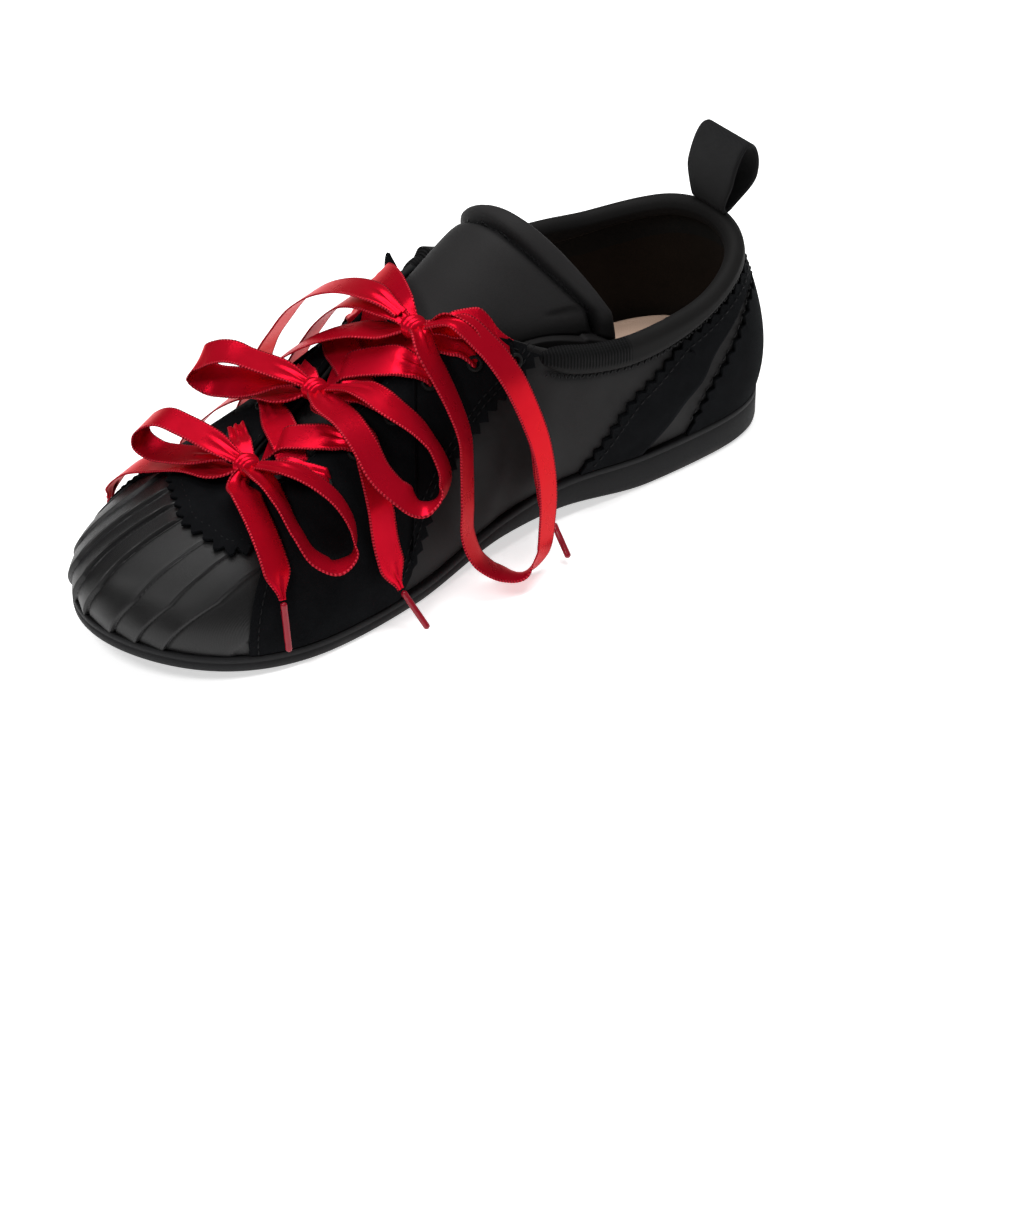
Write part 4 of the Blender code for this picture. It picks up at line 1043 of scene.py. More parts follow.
line = np.linspace(-TONGUE[0, 0], -TONGUE[-1, 0], TONGUE_ROWS)
rows = open_spline(np.column_stack([-TONGUE[:, 0], TONGUE]), line)[:, :, None]
along, across, height, half, medial, lateral, sweep_medial, sweep_lateral, thick = rows.swapaxes(0, 1)
wrap = np.radians(TONGUE_WRAP)
place_across = np.linspace(-1, TONGUE_WING, TONGUE_COLUMNS)[None, :]
turn = place_across * wrap
side = np.sin(turn) / np.sin(wrap)
bend = (1 - np.cos(turn)) / (1 - np.cos(wrap))
fall = np.where(turn > 0, medial, lateral) * bend
swept = np.minimum(bend, 1) + WING_SWEEP * np.maximum(bend - 1, 0)
sweep = np.where(turn > 0, sweep_medial, sweep_lateral) * swept
offset = side * half
face = np.stack([along - THROAT_SKEW * offset - sweep, across + offset, height - fall], -1)
normal = unit(np.cross(np.gradient(face, axis=1), np.gradient(face, axis=0)))
normal = normal * np.sign(normal[..., 2:3])
down_step = np.linalg.norm(np.diff(face, axis=0), axis=-1)
side_step = np.linalg.norm(np.diff(face, axis=1), axis=-1)
from_toe = np.concatenate([np.zeros((1, TONGUE_COLUMNS)), np.cumsum(down_step, 0)])
from_top = from_toe[-1] - from_toe
from_lateral = np.concatenate([np.zeros((TONGUE_ROWS, 1)), np.cumsum(side_step, 1)], 1)
from_medial = from_lateral[:, -1:] - from_lateral
depth = thick * (1 - EDGE_THINNING * np.abs(side) ** 4)
nearest = np.minimum(np.minimum(from_toe, from_top), np.minimum(from_lateral, from_medial))
plump = 0.5 * depth * np.sqrt(1 - (1 - np.clip(nearest / (0.5 * depth), 0, 1)) ** 2)
seam_depth = open_spline(RIM_SEAM, place_across)[..., 0]
past_seam = from_top - seam_depth
rolled = np.sqrt(np.clip(1 - (2 * from_top / seam_depth - 1) ** 2, 0, 1)) * (past_seam < 0)
dip = np.exp(-(past_seam / SEAM_WIDE) ** 2)
puff = RIM_PUFF * rolled - SEAM_SINK * dip + PAD_PUFF * ease(past_seam, 0, 6)
crease = np.exp(-((place_across - WING_CREASE_AT) / WING_CREASE_WIDE) ** 2)
crease = crease * ease(past_seam, *WING_CREASE_START) * (1 - ease(past_seam, *WING_CREASE_END))
puff = (puff - WING_CREASE * crease) * ease(nearest, 0, 1.5)
core = face - 0.5 * depth[..., None] * normal
top_face = core + (plump + puff)[..., None] * normal
bottom_face = core - plump[..., None] * normal
below = TONGUE_ROWS * TONGUE_COLUMNS
sheet_faces = grid_faces(TONGUE_ROWS, TONGUE_COLUMNS)
back_faces = (np.array(sheet_faces) + below).tolist()
index = np.arange(below).reshape(TONGUE_ROWS, TONGUE_COLUMNS)
border = np.concatenate([index[0], index[1:, -1], index[-1, -2::-1], index[-2:0:-1, 0]])
following = np.roll(border, -1)
wall_faces = np.stack([border, following, following + below, border + below], -1).tolist()
# Painted shade: the top face is darkened along the seam's dip and the medial wing's crease.
dark = np.concatenate([np.maximum(dip ** 0.6, 0.5 * crease), np.zeros(dip.shape)])
tongue = make_piece("padded_tongue", np.stack([top_face, bottom_face]),
                    sheet_faces + back_faces + wall_faces, stretch_cloth, marks={"groove_shade": dark})
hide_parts("tongue")

seam_row = np.argmin(np.abs(past_seam), axis=0)
columns = np.arange(3, TONGUE_COLUMNS - 3)
seam_line = top_face[seam_row[columns], columns]
seam_normal = normal[seam_row[columns], columns]
seam_run = run_along(seam_line)
even = np.arange(TONGUE_PITCH, seam_run[-1], TONGUE_PITCH)
middle, normal = (np.column_stack([np.interp(even, seam_run, column) for column in values.T])
                  for values in (seam_line, seam_normal))
run = unit(np.gradient(middle, axis=0))
sew("tongue_seam", [np.stack([middle, run, normal], 1)], TONGUE_STITCH)

# Pull loop. A folded length of black webbing sewn into the collar at the heel, standing up as a
# closed loop for a finger.
LOOP_HALF = 11.0
LOOP_FOOT = 0.72
LOOP_TAPER = (71.0, 83.0)
LOOP_STEPS = 140
LOOP_COLUMNS = 27
LOOP_NUDGE = 0.002
LOOP_ROUND = 0.6
WEBBING = 1.5
# Middle line in the plane of the heel. Columns: along, height.
PULL_LOOP = np.array([
    [14.5, 71.2],
    [15.8, 77.5],
    [14.8, 84.0],
    [12.4, 90.5],
    [8.8, 93.8],
    [5.6, 90.8],
    [5.0, 84.5],
    [8.2, 77.0],
])

webbing, shader, spot = new_finish("twill_webbing", **{"Sheen Weight": 0.02, "Sheen Roughness": 0.4,
                                                       "Specular IOR Level": 0.10})
tape = spot.node("UVMap", uv_map="strip")
twill = spot.node("TexWave", {"Vector": tape, "Scale": 1.1, "Distortion": 0.4, "Detail": 1.0},
                  bands_direction="DIAGONAL")
yarn = spot.noise(2400, 2)
fuzz = spot.noise(120, 3)
weave = twill * 0.55 + yarn * 0.25 + fuzz * 0.2
wear(shader, weave.tint((0.0040, 0.0040, 0.0043, 1), (0.0190, 0.0190, 0.0200, 1)), 0.62 + yarn * 0.2,
     twill * 0.22 + yarn * 0.08)

at = np.arange(LOOP_STEPS) / LOOP_STEPS
loop_knots = np.arange(len(PULL_LOOP)) / len(PULL_LOOP)
line, ahead, behind = (closed_spline(loop_knots, PULL_LOOP, at + nudge)
                       for nudge in (0.0, LOOP_NUDGE, -LOOP_NUDGE))
run = unit(ahead - behind)
out = np.stack([run[:, 1], -run[:, 0]], 1)
across = np.linspace(-1, 1, LOOP_COLUMNS)
into_edge = (np.abs(across) * LOOP_HALF - LOOP_HALF + LOOP_ROUND) / LOOP_ROUND
bevel = 0.5 * WEBBING * np.sqrt(1 - np.clip(into_edge, 0, 0.97) ** 2)
section = np.concatenate([np.column_stack([across, bevel]), np.column_stack([across, -bevel])[::-1]])
ring = line[None] + section[:, 1][:, None, None] * out[None]
full = LOOP_FOOT + (1 - LOOP_FOOT) * ease(line[:, 1], *LOOP_TAPER)
tape_points = np.stack([ring[..., 0], section[:, :1] * LOOP_HALF * full, ring[..., 1]], -1)
tape_run = np.cumsum(np.linalg.norm(np.roll(line, -1, 0) - line, axis=1))
strip = np.stack(np.broadcast_arrays(tape_run[None, :], section[:, :1] * LOOP_HALF), -1)
pull_loop = make_piece("webbing_pull_loop", tape_points, grid_faces(len(section), LOOP_STEPS, True, True),
                       webbing, strip)
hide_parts("pull_loop")

# Eyelets. Six small turned steel rings on each side, pressed through the eyestays.
EYELET_ROWS = (184.0, 171.0, 156.5, 142.5, 129.0, 118.0)
EYELET_INSET = 8.3
EYELET_SEAT = 1.7
EYELET_STEPS = 36
# Section of a ring. Columns: radius, height.
EYELET = np.array([
    [1.4, 0.0],
    [1.4, 0.45],
    [1.55, 0.72],
    [1.9, 0.85],
    [2.3, 0.72],
    [2.6, 0.3],
    [2.6, 0.0],
])

steel, shader, spot = new_finish("dark_steel", Metallic=0.2, **{"Specular IOR Level": 0.15})
lathe = spot.noise(1800, 2)
tarnish = spot.noise(500, 3)
coat = tarnish.tint((0.003, 0.003, 0.003, 1), (0.010, 0.010, 0.010, 1))
wear(shader, coat, 0.50 + tarnish * 0.25, lathe * 0.03)


def eyelet_place(row, side, reach):
    """Along and across beside the throat, at a distance from its edge."""
    middle, half = open_spline(THROAT, EYELET_ROWS[row])
    offset = side * (half + reach)
    return np.array([EYELET_ROWS[row] - THROAT_SKEW * offset, middle + offset])


def find(along, across):
    """Around and up of a place on the roof of the last, by closing in on a grid."""
    around, up, wide, high = 0.5, 0.7, 0.32, 0.28
    for trial in range(10):
        grid_around = around + np.linspace(-wide, wide, 25)[:, None]
        grid_up = np.clip(up + np.linspace(-high, high, 25), 0.3, 0.98)[None, :]
        point = last_point(grid_around, grid_up)
        miss = (point[..., 0] - along) ** 2 + (point[..., 1] - across) ** 2
        best = np.unravel_index(np.argmin(miss), miss.shape)
        around, up = grid_around[best[0], 0], grid_up[0, best[1]]
        wide, high = wide * 0.35, high * 0.35
    return around, up


def spokes(axis, count):
    """Directions square to an axis, at even turns all round it."""
    first = unit(np.cross(axis, np.array([1.0, 0.0, 0.0])))
    second = np.cross(axis, first)
    turn = np.arange(count) * 2 * np.pi / count
    return np.cos(turn)[:, None] * first + np.sin(turn)[:, None] * second


for name, side in (("medial", 1), ("lateral", -1)):
    for row in range(len(EYELET_ROWS)):
        around, up = find(*eyelet_place(row, side, EYELET_INSET))
        foot = skin(around, up, EYELET_SEAT)
        upright = skin(around, up, EYELET_SEAT + 1.0) - foot
        spoke = spokes(upright, EYELET_STEPS)
        rings = foot + EYELET[:, :1, None] * spoke + EYELET[:, 1:, None] * upright
        ring = make_piece("steel_eyelet_%s_%d" % (name, row + 1), rings,
                          grid_faces(*rings.shape[:2], True, True), steel)
        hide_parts("eyelet_%s_%d" % (name, row + 1))

# Ribbon straps. Crimson satin ribbon with a looped edge. Each ribbon has two rows of eyelets: from one
# row a strap crosses the throat from the medial eyelet over one from the lateral eyelet, and from the
# other row two short ones rise, gathered, to the knot.
RIBBON_WIDTH = 10.5
RIBBON_THICK = 0.45
KNOT_WIDTH = 6.5
PINCHED_WIDTH = 5.5
TIP_WIDTH = 2.5
PICOT_PITCH = 0.9
PICOT_REACH = 0.12
RIBBON_STEP = 0.3
RIBBON_COLUMNS = 15
STRAP_WIDTH = 9.2
STRAP_FLAT = 0.1
STRAP_WIDEN = (2.0, 15.0)
STRAP_SINK = 0.3
STRAP_ARCH = 3.0
STRAP_SETTLE = 1.0
STRAP_LEAVE = (4.0, 13.0)
STRAP_LEAVE_LATER = (11.0, 18.0)
STRAP_END_RUN = 7.0
STRAP_PINCH = (3.0, 15.0)
EYELET_FILL = 5.0
EYELET_COVER = 2.4
INSTEP_HALF = 20.0
GATHER_LIFT = 5.6
GATHER_FLAT = {"medial": 7.7, "lateral": 6.5}
# Folds of a pinched ribbon. Columns: height, waves across the width, phase.
GATHER_WAVES = ((0.55, 2.5, 0.0), (0.25, 4.2, 1.0))
# The form that the ribbons ride on. Columns: along, height of the ridge, fall at 20 mm on the
# medial and on the lateral side.
INSTEP = np.array([
    [205, 40.0, 3.7, 1.0],
    [195, 42.2, 3.5, 0.6],
    [184, 45.4, 3.6, 0.4],
    [171, 50.0, 3.2, 1.4],
    [157, 56.5, 3.7, 3.6],
    [141, 66.4, 5.2, 5.8],
    [128, 75.5, 7.0, 8.0],
    [116, 84.0, 8.5, 8.5],
])

ribbon, shader, spot = new_finish(
    "ribbon_satin", **{"Metallic": 0.6, "Specular IOR Level": 0.10, "Specular Tint": (0.75, 0.02, 0.05, 1)})
tape = spot.node("UVMap", uv_map="strip")
run_mm = tape.part(0)
across_share = tape.part(1)
weft = (run_mm * 21.0).wave()
floats = (across_share * 260.0).wave()
slub = spot.noise(160, 3)
from_edge = spot.node("Math", {0: across_share - 0.5}, operation="ABSOLUTE")
selvedge = from_edge.between(0.43, 0.46)
picot = (run_mm * (6.2832 / PICOT_PITCH)).wave()
satin_red = (slub * 0.7 + floats * 0.3).tint((0.50, 0.003, 0.016, 1), (0.60, 0.006, 0.024, 1))
edge_red = picot.tint((0.20, 0.002, 0.008, 1), (0.55, 0.030, 0.050, 1))
wear(shader, selvedge.tint(satin_red, edge_red), 0.25 + slub * 0.06 + selvedge * 0.2,
     floats * 0.008 + weft * 0.004 + selvedge * picot * 0.12 + slub * 0.003)


def ribbon_piece(name, grid, run):
    """Ribbon from rows of points across it; its sheet is given a thickness about its middle."""
    share = np.linspace(0, 1, grid.shape[1])
    strip = np.stack(np.broadcast_arrays(run[:, None], share[None, :]), -1)
    piece = make_piece(name, grid, grid_faces(*grid.shape[:2]), ribbon, strip, closed=False)
    solid(piece, RIBBON_THICK, 0.0)
    return piece


def across_ribbon(run):
    """Places across a ribbon from minus to plus a half, its edges let out at each picot."""
    side = np.linspace(-0.5, 0.5, RIBBON_COLUMNS)[None, :]
    picot = PICOT_REACH / RIBBON_WIDTH * np.abs(np.sin(np.pi * run / PICOT_PITCH))[:, None]
    return side + np.sign(side) * picot * (np.abs(side) > 0.49)


def gathers(side, pinch):
    """Lengthwise folds of a pinched ribbon: cosine waves across it that grow with the pinch."""
    return pinch * sum(height * np.cos(2 * np.pi * waves * side + phase)
                       for height, waves, phase in GATHER_WAVES)


def ride(plan, lift):
    """Points above the instep for places in plan."""
    ridge, medial, lateral = np.moveaxis(open_spline(INSTEP, plan[..., 0]), -1, 0)
    off = plan[..., 1] - open_spline(THROAT, plan[..., 0])[..., 0]
    fall = np.where(off > 0, medial, lateral) * (off / INSTEP_HALF) ** 2
    return np.concatenate([plan, (ridge - fall + lift)[..., None]], -1)


def suede_face(plan):
    """Height of the suede at places in plan beside the throat."""
    return np.array([skin(*find(*point), SUEDE_LIFT)[2] for point in plan])


def strap(name, row, side, end, lift, full_width, end_level, flat_run):
    """Ribbon out of an eyelet over the instep, gathered in the eyelet and brought to a level at its end."""
    start = eyelet_place(row, side, EYELET_INSET)
    start = start - EYELET_COVER * (end - start) / np.linalg.norm(end - start)
    reach = np.linalg.norm(end - start)
    run = np.arange(0, reach, RIBBON_STEP)
    line = start + (run / reach)[:, None] * (end - start)
    square = np.array([start[1] - end[1], end[0] - start[0]]) / reach
    width = EYELET_FILL * (0.5 + 0.5 * ease(run, 0, 2)) + (full_width - EYELET_FILL) * ease(run, *STRAP_WIDEN)
    near = np.linspace(0, EYELET_COVER + EYELET_INSET + 2.0, 7)
    face = np.interp(run, near, suede_face(start + (near / reach)[:, None] * (end - start)))
    form = ride(line, 0.0 * run)[:, 2]
    by_eyelet = face - form - STRAP_SINK + STRAP_ARCH * ease(run, 0, 2) - STRAP_SETTLE * ease(run, 5, 9)
    far = ease(run, *STRAP_LEAVE)
    later = ease(run, *STRAP_LEAVE_LATER)
    level = np.maximum(by_eyelet * (1 - far) + lift * far, by_eyelet * (1 - later) + lift * later)
    level = (level + (end_level - lift) * ease(run, reach - STRAP_END_RUN, reach))[:, None]
    side = across_ribbon(run)
    grid = ride(line[:, None] + (side * width[:, None])[..., None] * square, level)
    flat = ease(run, reach - flat_run, reach)[:, None]
    pinch = 1 - ease(run, *STRAP_PINCH)[:, None]
    grid[..., 2] += flat * (ride(line, level[:, 0])[:, 2:] - grid[..., 2]) + gathers(side, pinch)
    return ribbon_piece(name, grid, run)


# Bows. Each ribbon is tied in a bow: a loop and an end on each side of a tight knot, the ends closed
# with clear plastic tips; every half of a bow is one length, out round its loop, through the knot
# and on to the end of the other side.
KNOT_LEVELS = {"loop_over": 2.5, "loop_under": 1.5, "end_over": 0.6, "gather": -1.1, "end_under": -2.4}
# Each ribbon's crossing. Columns: lift of the upper and of the lower strap, drop at their ends.
CROSSINGS = ((4.0, 2.8, 4.0), (4.0, 2.8, 4.0), (-0.4, -1.4, 1.0))
# Where the lower strap of each ribbon ends by the medial edge of the throat. Columns: along, across.
DIAGONAL_ENDS = ((182.8, 12.5), (155.1, 8.0), (144.5, 6.8))
# Where the upper strap ends by the lateral edge of the throat. Columns: along, across.
BAR_ENDS = ((185.2, 0.5), (158.0, -6.0), (147.0, -8.8))
# Eyelet rows of each ribbon, counted from 0 at the toe: the one that leads to the knot, then the one
# that leads across.
LACED_ROWS = ((0, 1), (2, 3), (5, 4))
KNOT_SEAT = 5.2
KNOT_HALF = (3.9, 4.2, 3.2)
KNOT_RINGS = 40
KNOT_STEPS = 56
KNOT_RIDGE = 0.13
TIP_GAP = 0.7
TIP_RADIUS = 1.0
TIP_ROUND = 0.7
TIP_WAIST = 0.06
TIP_WAIST_AT = 3.0
TIP_WAIST_WIDE = 0.5
TIP_RINGS = 36
TIP_STEPS = 24
PATH_POINTS = 40
# From the toe up. Each strand has directions of the ribbon's width, set evenly along it, and the points
# of its middle line, all as along, across and height. A tip has its far end.
BOWS = (
    {
        "knot": (196.5, 8, 48),
        "loop_medial": (((0.60, 0.78, 0.17),), (
            (195, 14.5, 52), (191.5, 22, 52.5), (187, 30, 50), (183, 37, 44),
            (182, 41.5, 37), (185, 45, 32), (191, 45.5, 30.5), (196, 42.5, 33.5),
            (198, 36, 40), (198, 28, 46), (197.5, 20, 49), (197.5, 14.5, 49))),
        "loop_lateral": (((0.874, 0.486, 0.0),), (
            (200, 0.5, 49), (204, -6, 47), (208, -14, 45), (211, -20, 44.5), (213, -23.5, 47),
            (213, -23.5, 51), (211, -20.5, 55), (209, -16.5, 57), (206, -11, 56), (200, 0.5, 52.5))),
        "end_medial": (((0.93, 0.12, 0.32),), (
            (202.5, 12.5, 46), (204, 19.3, 46), (205.5, 27, 43), (206.5, 33, 39),
            (207.5, 39.2, 32.5), (208.5, 43.6, 25))),
        "tip_medial": (209.5, 47, 9),
        "end_lateral": (((1.0, 0.4, 0.0),), (
            (202, 2.5, 46), (206, -9, 43.5), (210.5, -19.5, 39.5), (214, -28.5, 35),
            (216, -35, 28), (217, -38.5, 20))),
        "tip_lateral": (218, -40, 5),
    },
    {
        "knot": (166.5, 0, 58.8),
        "loop_medial": (((0.97, 0.15, 0.10), (0.97, 0.15, 0.10), (0.72, 0.62, 0.30), (0.82, 0.50, 0.28),
                         (0.93, 0.28, 0.15), (0.95, 0.22, 0.12), (0.97, 0.20, 0.10)), (
            (164, 6.5, 61.5), (159.5, 15, 64), (155.5, 25, 60.5), (151, 32, 55), (148.5, 37.5, 48),
            (148.5, 40.8, 42), (152.5, 43, 38), (158.5, 43.5, 38), (165.5, 42, 43.5), (169, 37, 49),
            (169.5, 29.5, 56), (169.5, 21, 60), (169.5, 13, 60.5), (169, 6.5, 60))),
        "loop_lateral": (((0.828, 0.56, 0.0), (0.70, 0.30, -0.50), (0.70, 0.30, -0.50), (0.828, 0.56, 0.0),
                          (0.828, 0.56, 0.0)), (
            (169.5, -6, 60), (175, -14, 58), (181.5, -23, 55.5), (185, -28.8, 55.2), (187, -32, 57.5),
            (187, -31.5, 61), (185, -28.3, 64.2), (182, -24, 66), (177, -16, 65), (169.5, -6, 63.5))),
        "end_medial": (((0.93, 0.12, 0.34),), (
            (168.5, 6.5, 56.5), (168.5, 13.5, 57.5), (166.3, 24, 55.3), (168.3, 31.5, 48),
            (169.6, 37.3, 38.5), (171, 42, 28), (170.5, 45.5, 19), (169.5, 47, 14))),
        "tip_medial": (165, 54, 1.8),
        "end_lateral": (((1.0, 0.4, 0.0),), (
            (171.0, -4.5, 56.5), (176, -18, 53), (180, -27, 46.5), (183, -34, 39), (185, -40.5, 31),
            (186, -46, 22))),
        "tip_lateral": (186.5, -49.5, 7),
    },
    {
        "knot": (137.5, 10.5, 75),
        "loop_medial": (((0.93, 0.35, 0.10), (0.93, 0.35, 0.10), (0.90, 0.40, 0.20), (0.78, 0.50, 0.37),
                         (0.78, 0.50, 0.37), (0.90, 0.40, 0.15)), (
            (136, 17.5, 80), (131, 23, 80.5), (125.5, 30, 74), (121, 36, 64.5), (117, 40, 52),
            (114.5, 43, 40), (114.5, 46, 28.5), (116.5, 48.5, 16.5), (120, 50.5, 8), (127, 51, 4.5),
            (135, 49.5, 7), (141, 47, 13), (143.5, 45, 21.5), (142.5, 43.5, 31), (140, 40, 40.5),
            (138, 36.5, 49), (138.5, 32, 58), (140, 27, 66.5), (141, 22.5, 72.5), (139.5, 17, 75.5))),
        "loop_lateral": (((0.95, 0.30, 0.0),), (
            (139, 4, 79.5), (141, -5, 80.5), (143, -15, 79), (146, -24, 75), (149, -33.5, 67),
            (151, -41.5, 56), (153, -48, 44.5), (153.5, -50.5, 35), (152.5, -48, 28.5), (151, -44, 31),
            (149.5, -40, 39), (148.5, -36, 47), (147, -31, 55.5), (145.5, -24, 65.5), (143.5, -14.5, 74.3),
            (139, 4, 76.5))),
        "end_medial": (((0.75, 0.35, 0.55),), (
            (131.0, 14.5, 77), (129.0, 16.5, 78.6), (124.0, 23.0, 76.5), (120.5, 30, 65),
            (115.5, 34.5, 52), (111.5, 37, 37.5), (110, 38, 24), (109, 39.5, 13.5), (108.6, 41, 10))),
        "tip_medial": (110, 51, 2.6),
        "end_lateral": (((1.0, 0.4, 0.0),), (
            (140.3, 5.7, 74.5), (148.5, -5, 70.5), (154, -16.5, 64), (158.5, -27, 55), (161.5, -35, 46),
            (163.5, -42, 35), (164.5, -46.5, 24))),
        "tip_lateral": (165, -49.5, 9),
    },
)

clear_tip, shader, spot = new_finish("clear_tip", **{"Specular IOR Level": 0.25, "Coat Weight": 0.12})
mottle = spot.noise(400, 2)
wear(shader, mottle.tint((0.20, 0.003, 0.012, 1), (0.32, 0.008, 0.022, 1)), 0.18 + mottle * 0.12,
     mottle * 0.05)


def beside_knot(knot, point, level):
    """Place in plan towards a point, just clear of the knot, at a level on its side."""
    away = unit(np.array(point[:2], float) - knot[:2])
    return np.append(knot[:2] + KNOT_SEAT * away, knot[2] + KNOT_LEVELS[level])


def build_knot(name, centre):
    """Wrap of ribbon: a barrel across the foot whose radius falls at its ends, ridged by slanting folds."""
    t = np.linspace(-1, 1, KNOT_RINGS)[:, None]
    turn = np.arange(KNOT_STEPS)[None, :] * 2 * np.pi / KNOT_STEPS
    slant = t + 0.22 * np.sin(turn + 0.6)
    ridges = 0.45 * np.cos(slant * 7.0) + 0.2 * np.cos(slant * 15 + 1.0)
    radius = (1 - np.abs(t) ** 3.2) ** 0.5 + KNOT_RIDGE * ridges * (1 - t ** 4)
    radius = np.clip(radius, 0.01, None)
    section = np.broadcast_arrays(radius * np.cos(turn), t, radius * np.sin(turn))
    points = np.array(centre) + np.stack(section, -1) * np.array(KNOT_HALF)
    strip = np.stack(np.broadcast_arrays(turn * 4, 0.5 + 0.38 * t), -1)
    piece = make_piece(name, points, tube_faces(*points.shape[:2]), ribbon, strip)
    return piece


def build_tip(name, ribbon_end, end):
    """Clear tube that closes the end of a ribbon: circles along its run, rounded at both ends."""
    run = np.array(end, float) - ribbon_end
    reach = np.linalg.norm(run)
    run = run / reach
    at = np.linspace(0, 1, TIP_RINGS) * (reach - TIP_GAP)
    inside = np.minimum(at, at[-1] - at)
    radius = TIP_RADIUS * np.sqrt(1 - (1 - np.clip(inside / TIP_ROUND, 0.05, 1)) ** 2)
    radius = radius * (1 - TIP_WAIST * np.exp(-((at - TIP_WAIST_AT) / TIP_WAIST_WIDE) ** 2))
    points = (ribbon_end + (TIP_GAP + at)[:, None, None] * run
              + radius[:, None, None] * spokes(run, TIP_STEPS))
    piece = make_piece(name, points, tube_faces(*points.shape[:2]), clear_tip)
    return piece


def spread(rows, share):
    """Rows of directions set evenly along a strand, at shares of its length."""
    rows = np.array(rows)
    place_of = np.linspace(0, 1, len(rows))
    return np.column_stack([np.interp(share, place_of, rows[:, k]) for k in range(3)])


def half_bow(bow, loop_side, end_side):
    """Middle line and width direction of one length: its loop, the knot, and the end across from it."""
    knot = np.array(bow["knot"], float)
    loop_wide, loop = bow["loop_" + loop_side]
    end_wide, end = bow["end_" + end_side]
    order = ("loop_over", "loop_under") if loop[0][2] > loop[-1][2] else ("loop_under", "loop_over")
    first, last = (beside_knot(knot, loop[k], order[k]) for k in (0, -1))
    start = beside_knot(knot, end[0], "end_over" if end[0][2] > knot[2] else "end_under")
    points = np.array([first, *loop[1:-1], last, knot, start, *end[1:]], float)
    at = run_along(points)
    loop_end, knot_at, end_start = at[len(loop) - 1:len(loop) + 2]
    run = np.arange(0, at[-1], RIBBON_STEP)
    line, path = (open_spline(np.column_stack([at, points]), place_on)
                  for place_on in (run, np.linspace(0, at[-1], PATH_POINTS)))
    turned = ease(run, knot_at - 4, knot_at + 4)[:, None]
    wide = spread(loop_wide, run / loop_end) * (1 - turned)
    wide = wide + spread(end_wide, (run - end_start) / (at[-1] - end_start)) * turned
    return line, wide, run, path, knot_at


def free_ribbon(name, line, wide, run, knot_at):
    """A length of ribbon: its width square to the path, pinched at the knot and drawn in at the tip."""
    ahead = unit(np.gradient(line, axis=0))
    wide = unit(wide - (ahead * wide).sum(1, keepdims=True) * ahead)
    thin = np.cross(ahead, wide)
    near_knot = np.minimum(run, np.abs(run - knot_at))
    open_out = ease(near_knot, 2, 13)
    to_tip = run[-1] - run
    width = PINCHED_WIDTH + (RIBBON_WIDTH - PINCHED_WIDTH) * open_out
    width = TIP_WIDTH + (width - TIP_WIDTH) * ease(to_tip, 0, 9)
    pinch = 1 - ease(near_knot, 3, 16) * ease(to_tip, 0, 10)
    side = across_ribbon(run)
    grid = (line[:, None] + (side * width[:, None])[..., None] * wide[:, None]
            + gathers(side, 0.8 * pinch[:, None])[..., None] * thin[:, None])
    return ribbon_piece(name, grid, run)


for number, bow in enumerate(BOWS):
    label = "lace_%d" % (number + 1)
    knot = np.array(bow["knot"], float)
    tied_row, crossed_row = LACED_ROWS[number]
    high, low, drop = CROSSINGS[number]
    bar = strap(label + "_bar", crossed_row, 1, np.array(BAR_ENDS[number]), high, STRAP_WIDTH,
                high - drop, STRAP_FLAT)
    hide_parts(label + "_crossing")
    strap(label + "_diagonal", crossed_row, -1, np.array(DIAGONAL_ENDS[number]), low, STRAP_WIDTH,
          low - drop, STRAP_FLAT)
    for side_name, side in (("medial", 1), ("lateral", -1)):
        start = eyelet_place(tied_row, side, EYELET_INSET)
        seat = beside_knot(knot, start, "gather")
        level = seat[2] - ride(seat[:2], 0.0)[2]
        short = strap("%s_riser_%s" % (label, side_name), tied_row, side, seat[:2], GATHER_LIFT,
                      KNOT_WIDTH, level, GATHER_FLAT[side_name])
        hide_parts("%s_gather_%s" % (label, side_name))
    label = "bow_%d" % (number + 1)
    wrap_piece = build_knot("ribbon_%s_wrap" % label, bow["knot"])
    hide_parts(label + "_knot")
    for loop_side, end_side in (("medial", "lateral"), ("lateral", "medial")):
        line, wide, run, path, knot_at = half_bow(bow, loop_side, end_side)
        length = free_ribbon("ribbon_%s_%s" % (label, loop_side), line, wide, run, knot_at)
        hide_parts("%s_loop_%s" % (label, loop_side), "%s_end_%s" % (label, end_side))
        tip = build_tip("tip_%s_%s" % (label, end_side), np.array(bow["end_" + end_side][1][-1], float),
                        bow["tip_" + end_side])
        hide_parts("%s_tip_%s" % (label, end_side))

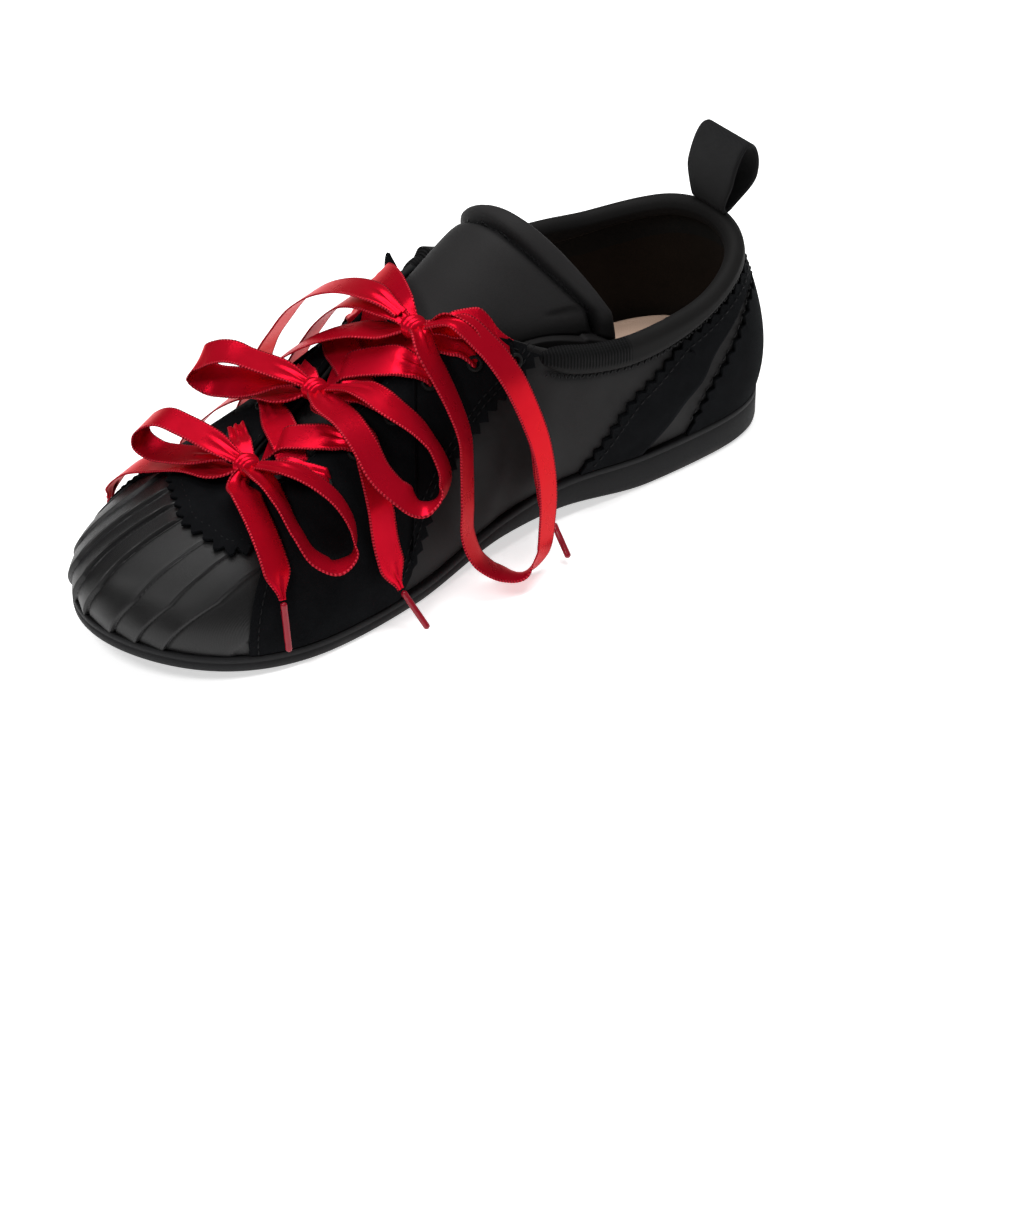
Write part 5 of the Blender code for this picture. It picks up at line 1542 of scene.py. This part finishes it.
# Floor, light and camera. A plain pale studio floor under a wide soft light from above and a smaller
# one over the toe, and the camera above the medial forefoot with a long lens.
FLOOR_HALF = 4000.0
CAMERA_EYE = np.array([0.70077, -0.49402, 0.5799])
CAMERA_TARGET = np.array([0.10688, -0.04742, 0.040])
CAMERA_LENS = 96.5
SENSOR_WIDTH = 36.0
SKY_STRENGTH = 0.16

floor_paint, shader, spot = new_finish(
    "floor_paint", **{"Specular IOR Level": 0.1, "Emission Color": (1, 1, 1, 1), "Emission Strength": 0.6})
patch_tone = spot.noise(3, 2)
wear(shader, patch_tone.tint((0.90, 0.90, 0.90, 1), (0.93, 0.93, 0.93, 1)), 0.75 + patch_tone * 0.1)
side = np.linspace(-1, 1, 3) * FLOOR_HALF
floor_points = np.stack([*np.meshgrid(side, side, indexing="ij"), np.zeros((3, 3))], -1)
floor = make_piece("studio_floor", floor_points, grid_faces(3, 3), floor_paint, closed=False)


def look_at(eye, target):
    """Place of a camera or light at the eye, its own -Z to the target and its +Y up."""
    back = unit(eye - target)
    right = unit(np.cross([0.0, 0.0, 1.0], back))
    matrix = np.eye(4)
    matrix[:3] = np.column_stack([right, np.cross(back, right), back, eye])
    return [tuple(row) for row in matrix.T]


def soft_light(name, eye, target, size, power):
    """Square area light that faces its target."""
    lamp = bpy.data.lights.new(name, "AREA")
    lamp.size = size
    lamp.energy = power
    holder = bpy.data.objects.new(name, lamp)
    bpy.context.scene.collection.objects.link(holder)
    holder.matrix_world = look_at(np.array(eye), np.array(target))


soft_light("overhead_light", (-0.15, 0.15, 1.3), (0.0, 0.0, 0.0), 1.0, 18.0)
soft_light("key_light", (0.1, -0.75, 1.0), (0.0, 0.0, 0.05), 0.35, 6.0)
world = bpy.data.worlds.new("studio")
world.use_nodes = True
sky = world.node_tree.nodes["Background"]
sky.inputs["Color"].default_value = (1.0, 1.0, 1.0, 1)
sky.inputs["Strength"].default_value = SKY_STRENGTH
bpy.context.scene.world = world
bpy.context.scene.view_settings.view_transform = "Standard"

camera_data = bpy.data.cameras.new("camera")
camera_data.lens = CAMERA_LENS
camera_data.sensor_width = SENSOR_WIDTH
camera = bpy.data.objects.new("camera", camera_data)
bpy.context.scene.collection.objects.link(camera)
camera.matrix_world = look_at(CAMERA_EYE, CAMERA_TARGET)
bpy.context.scene.camera = camera
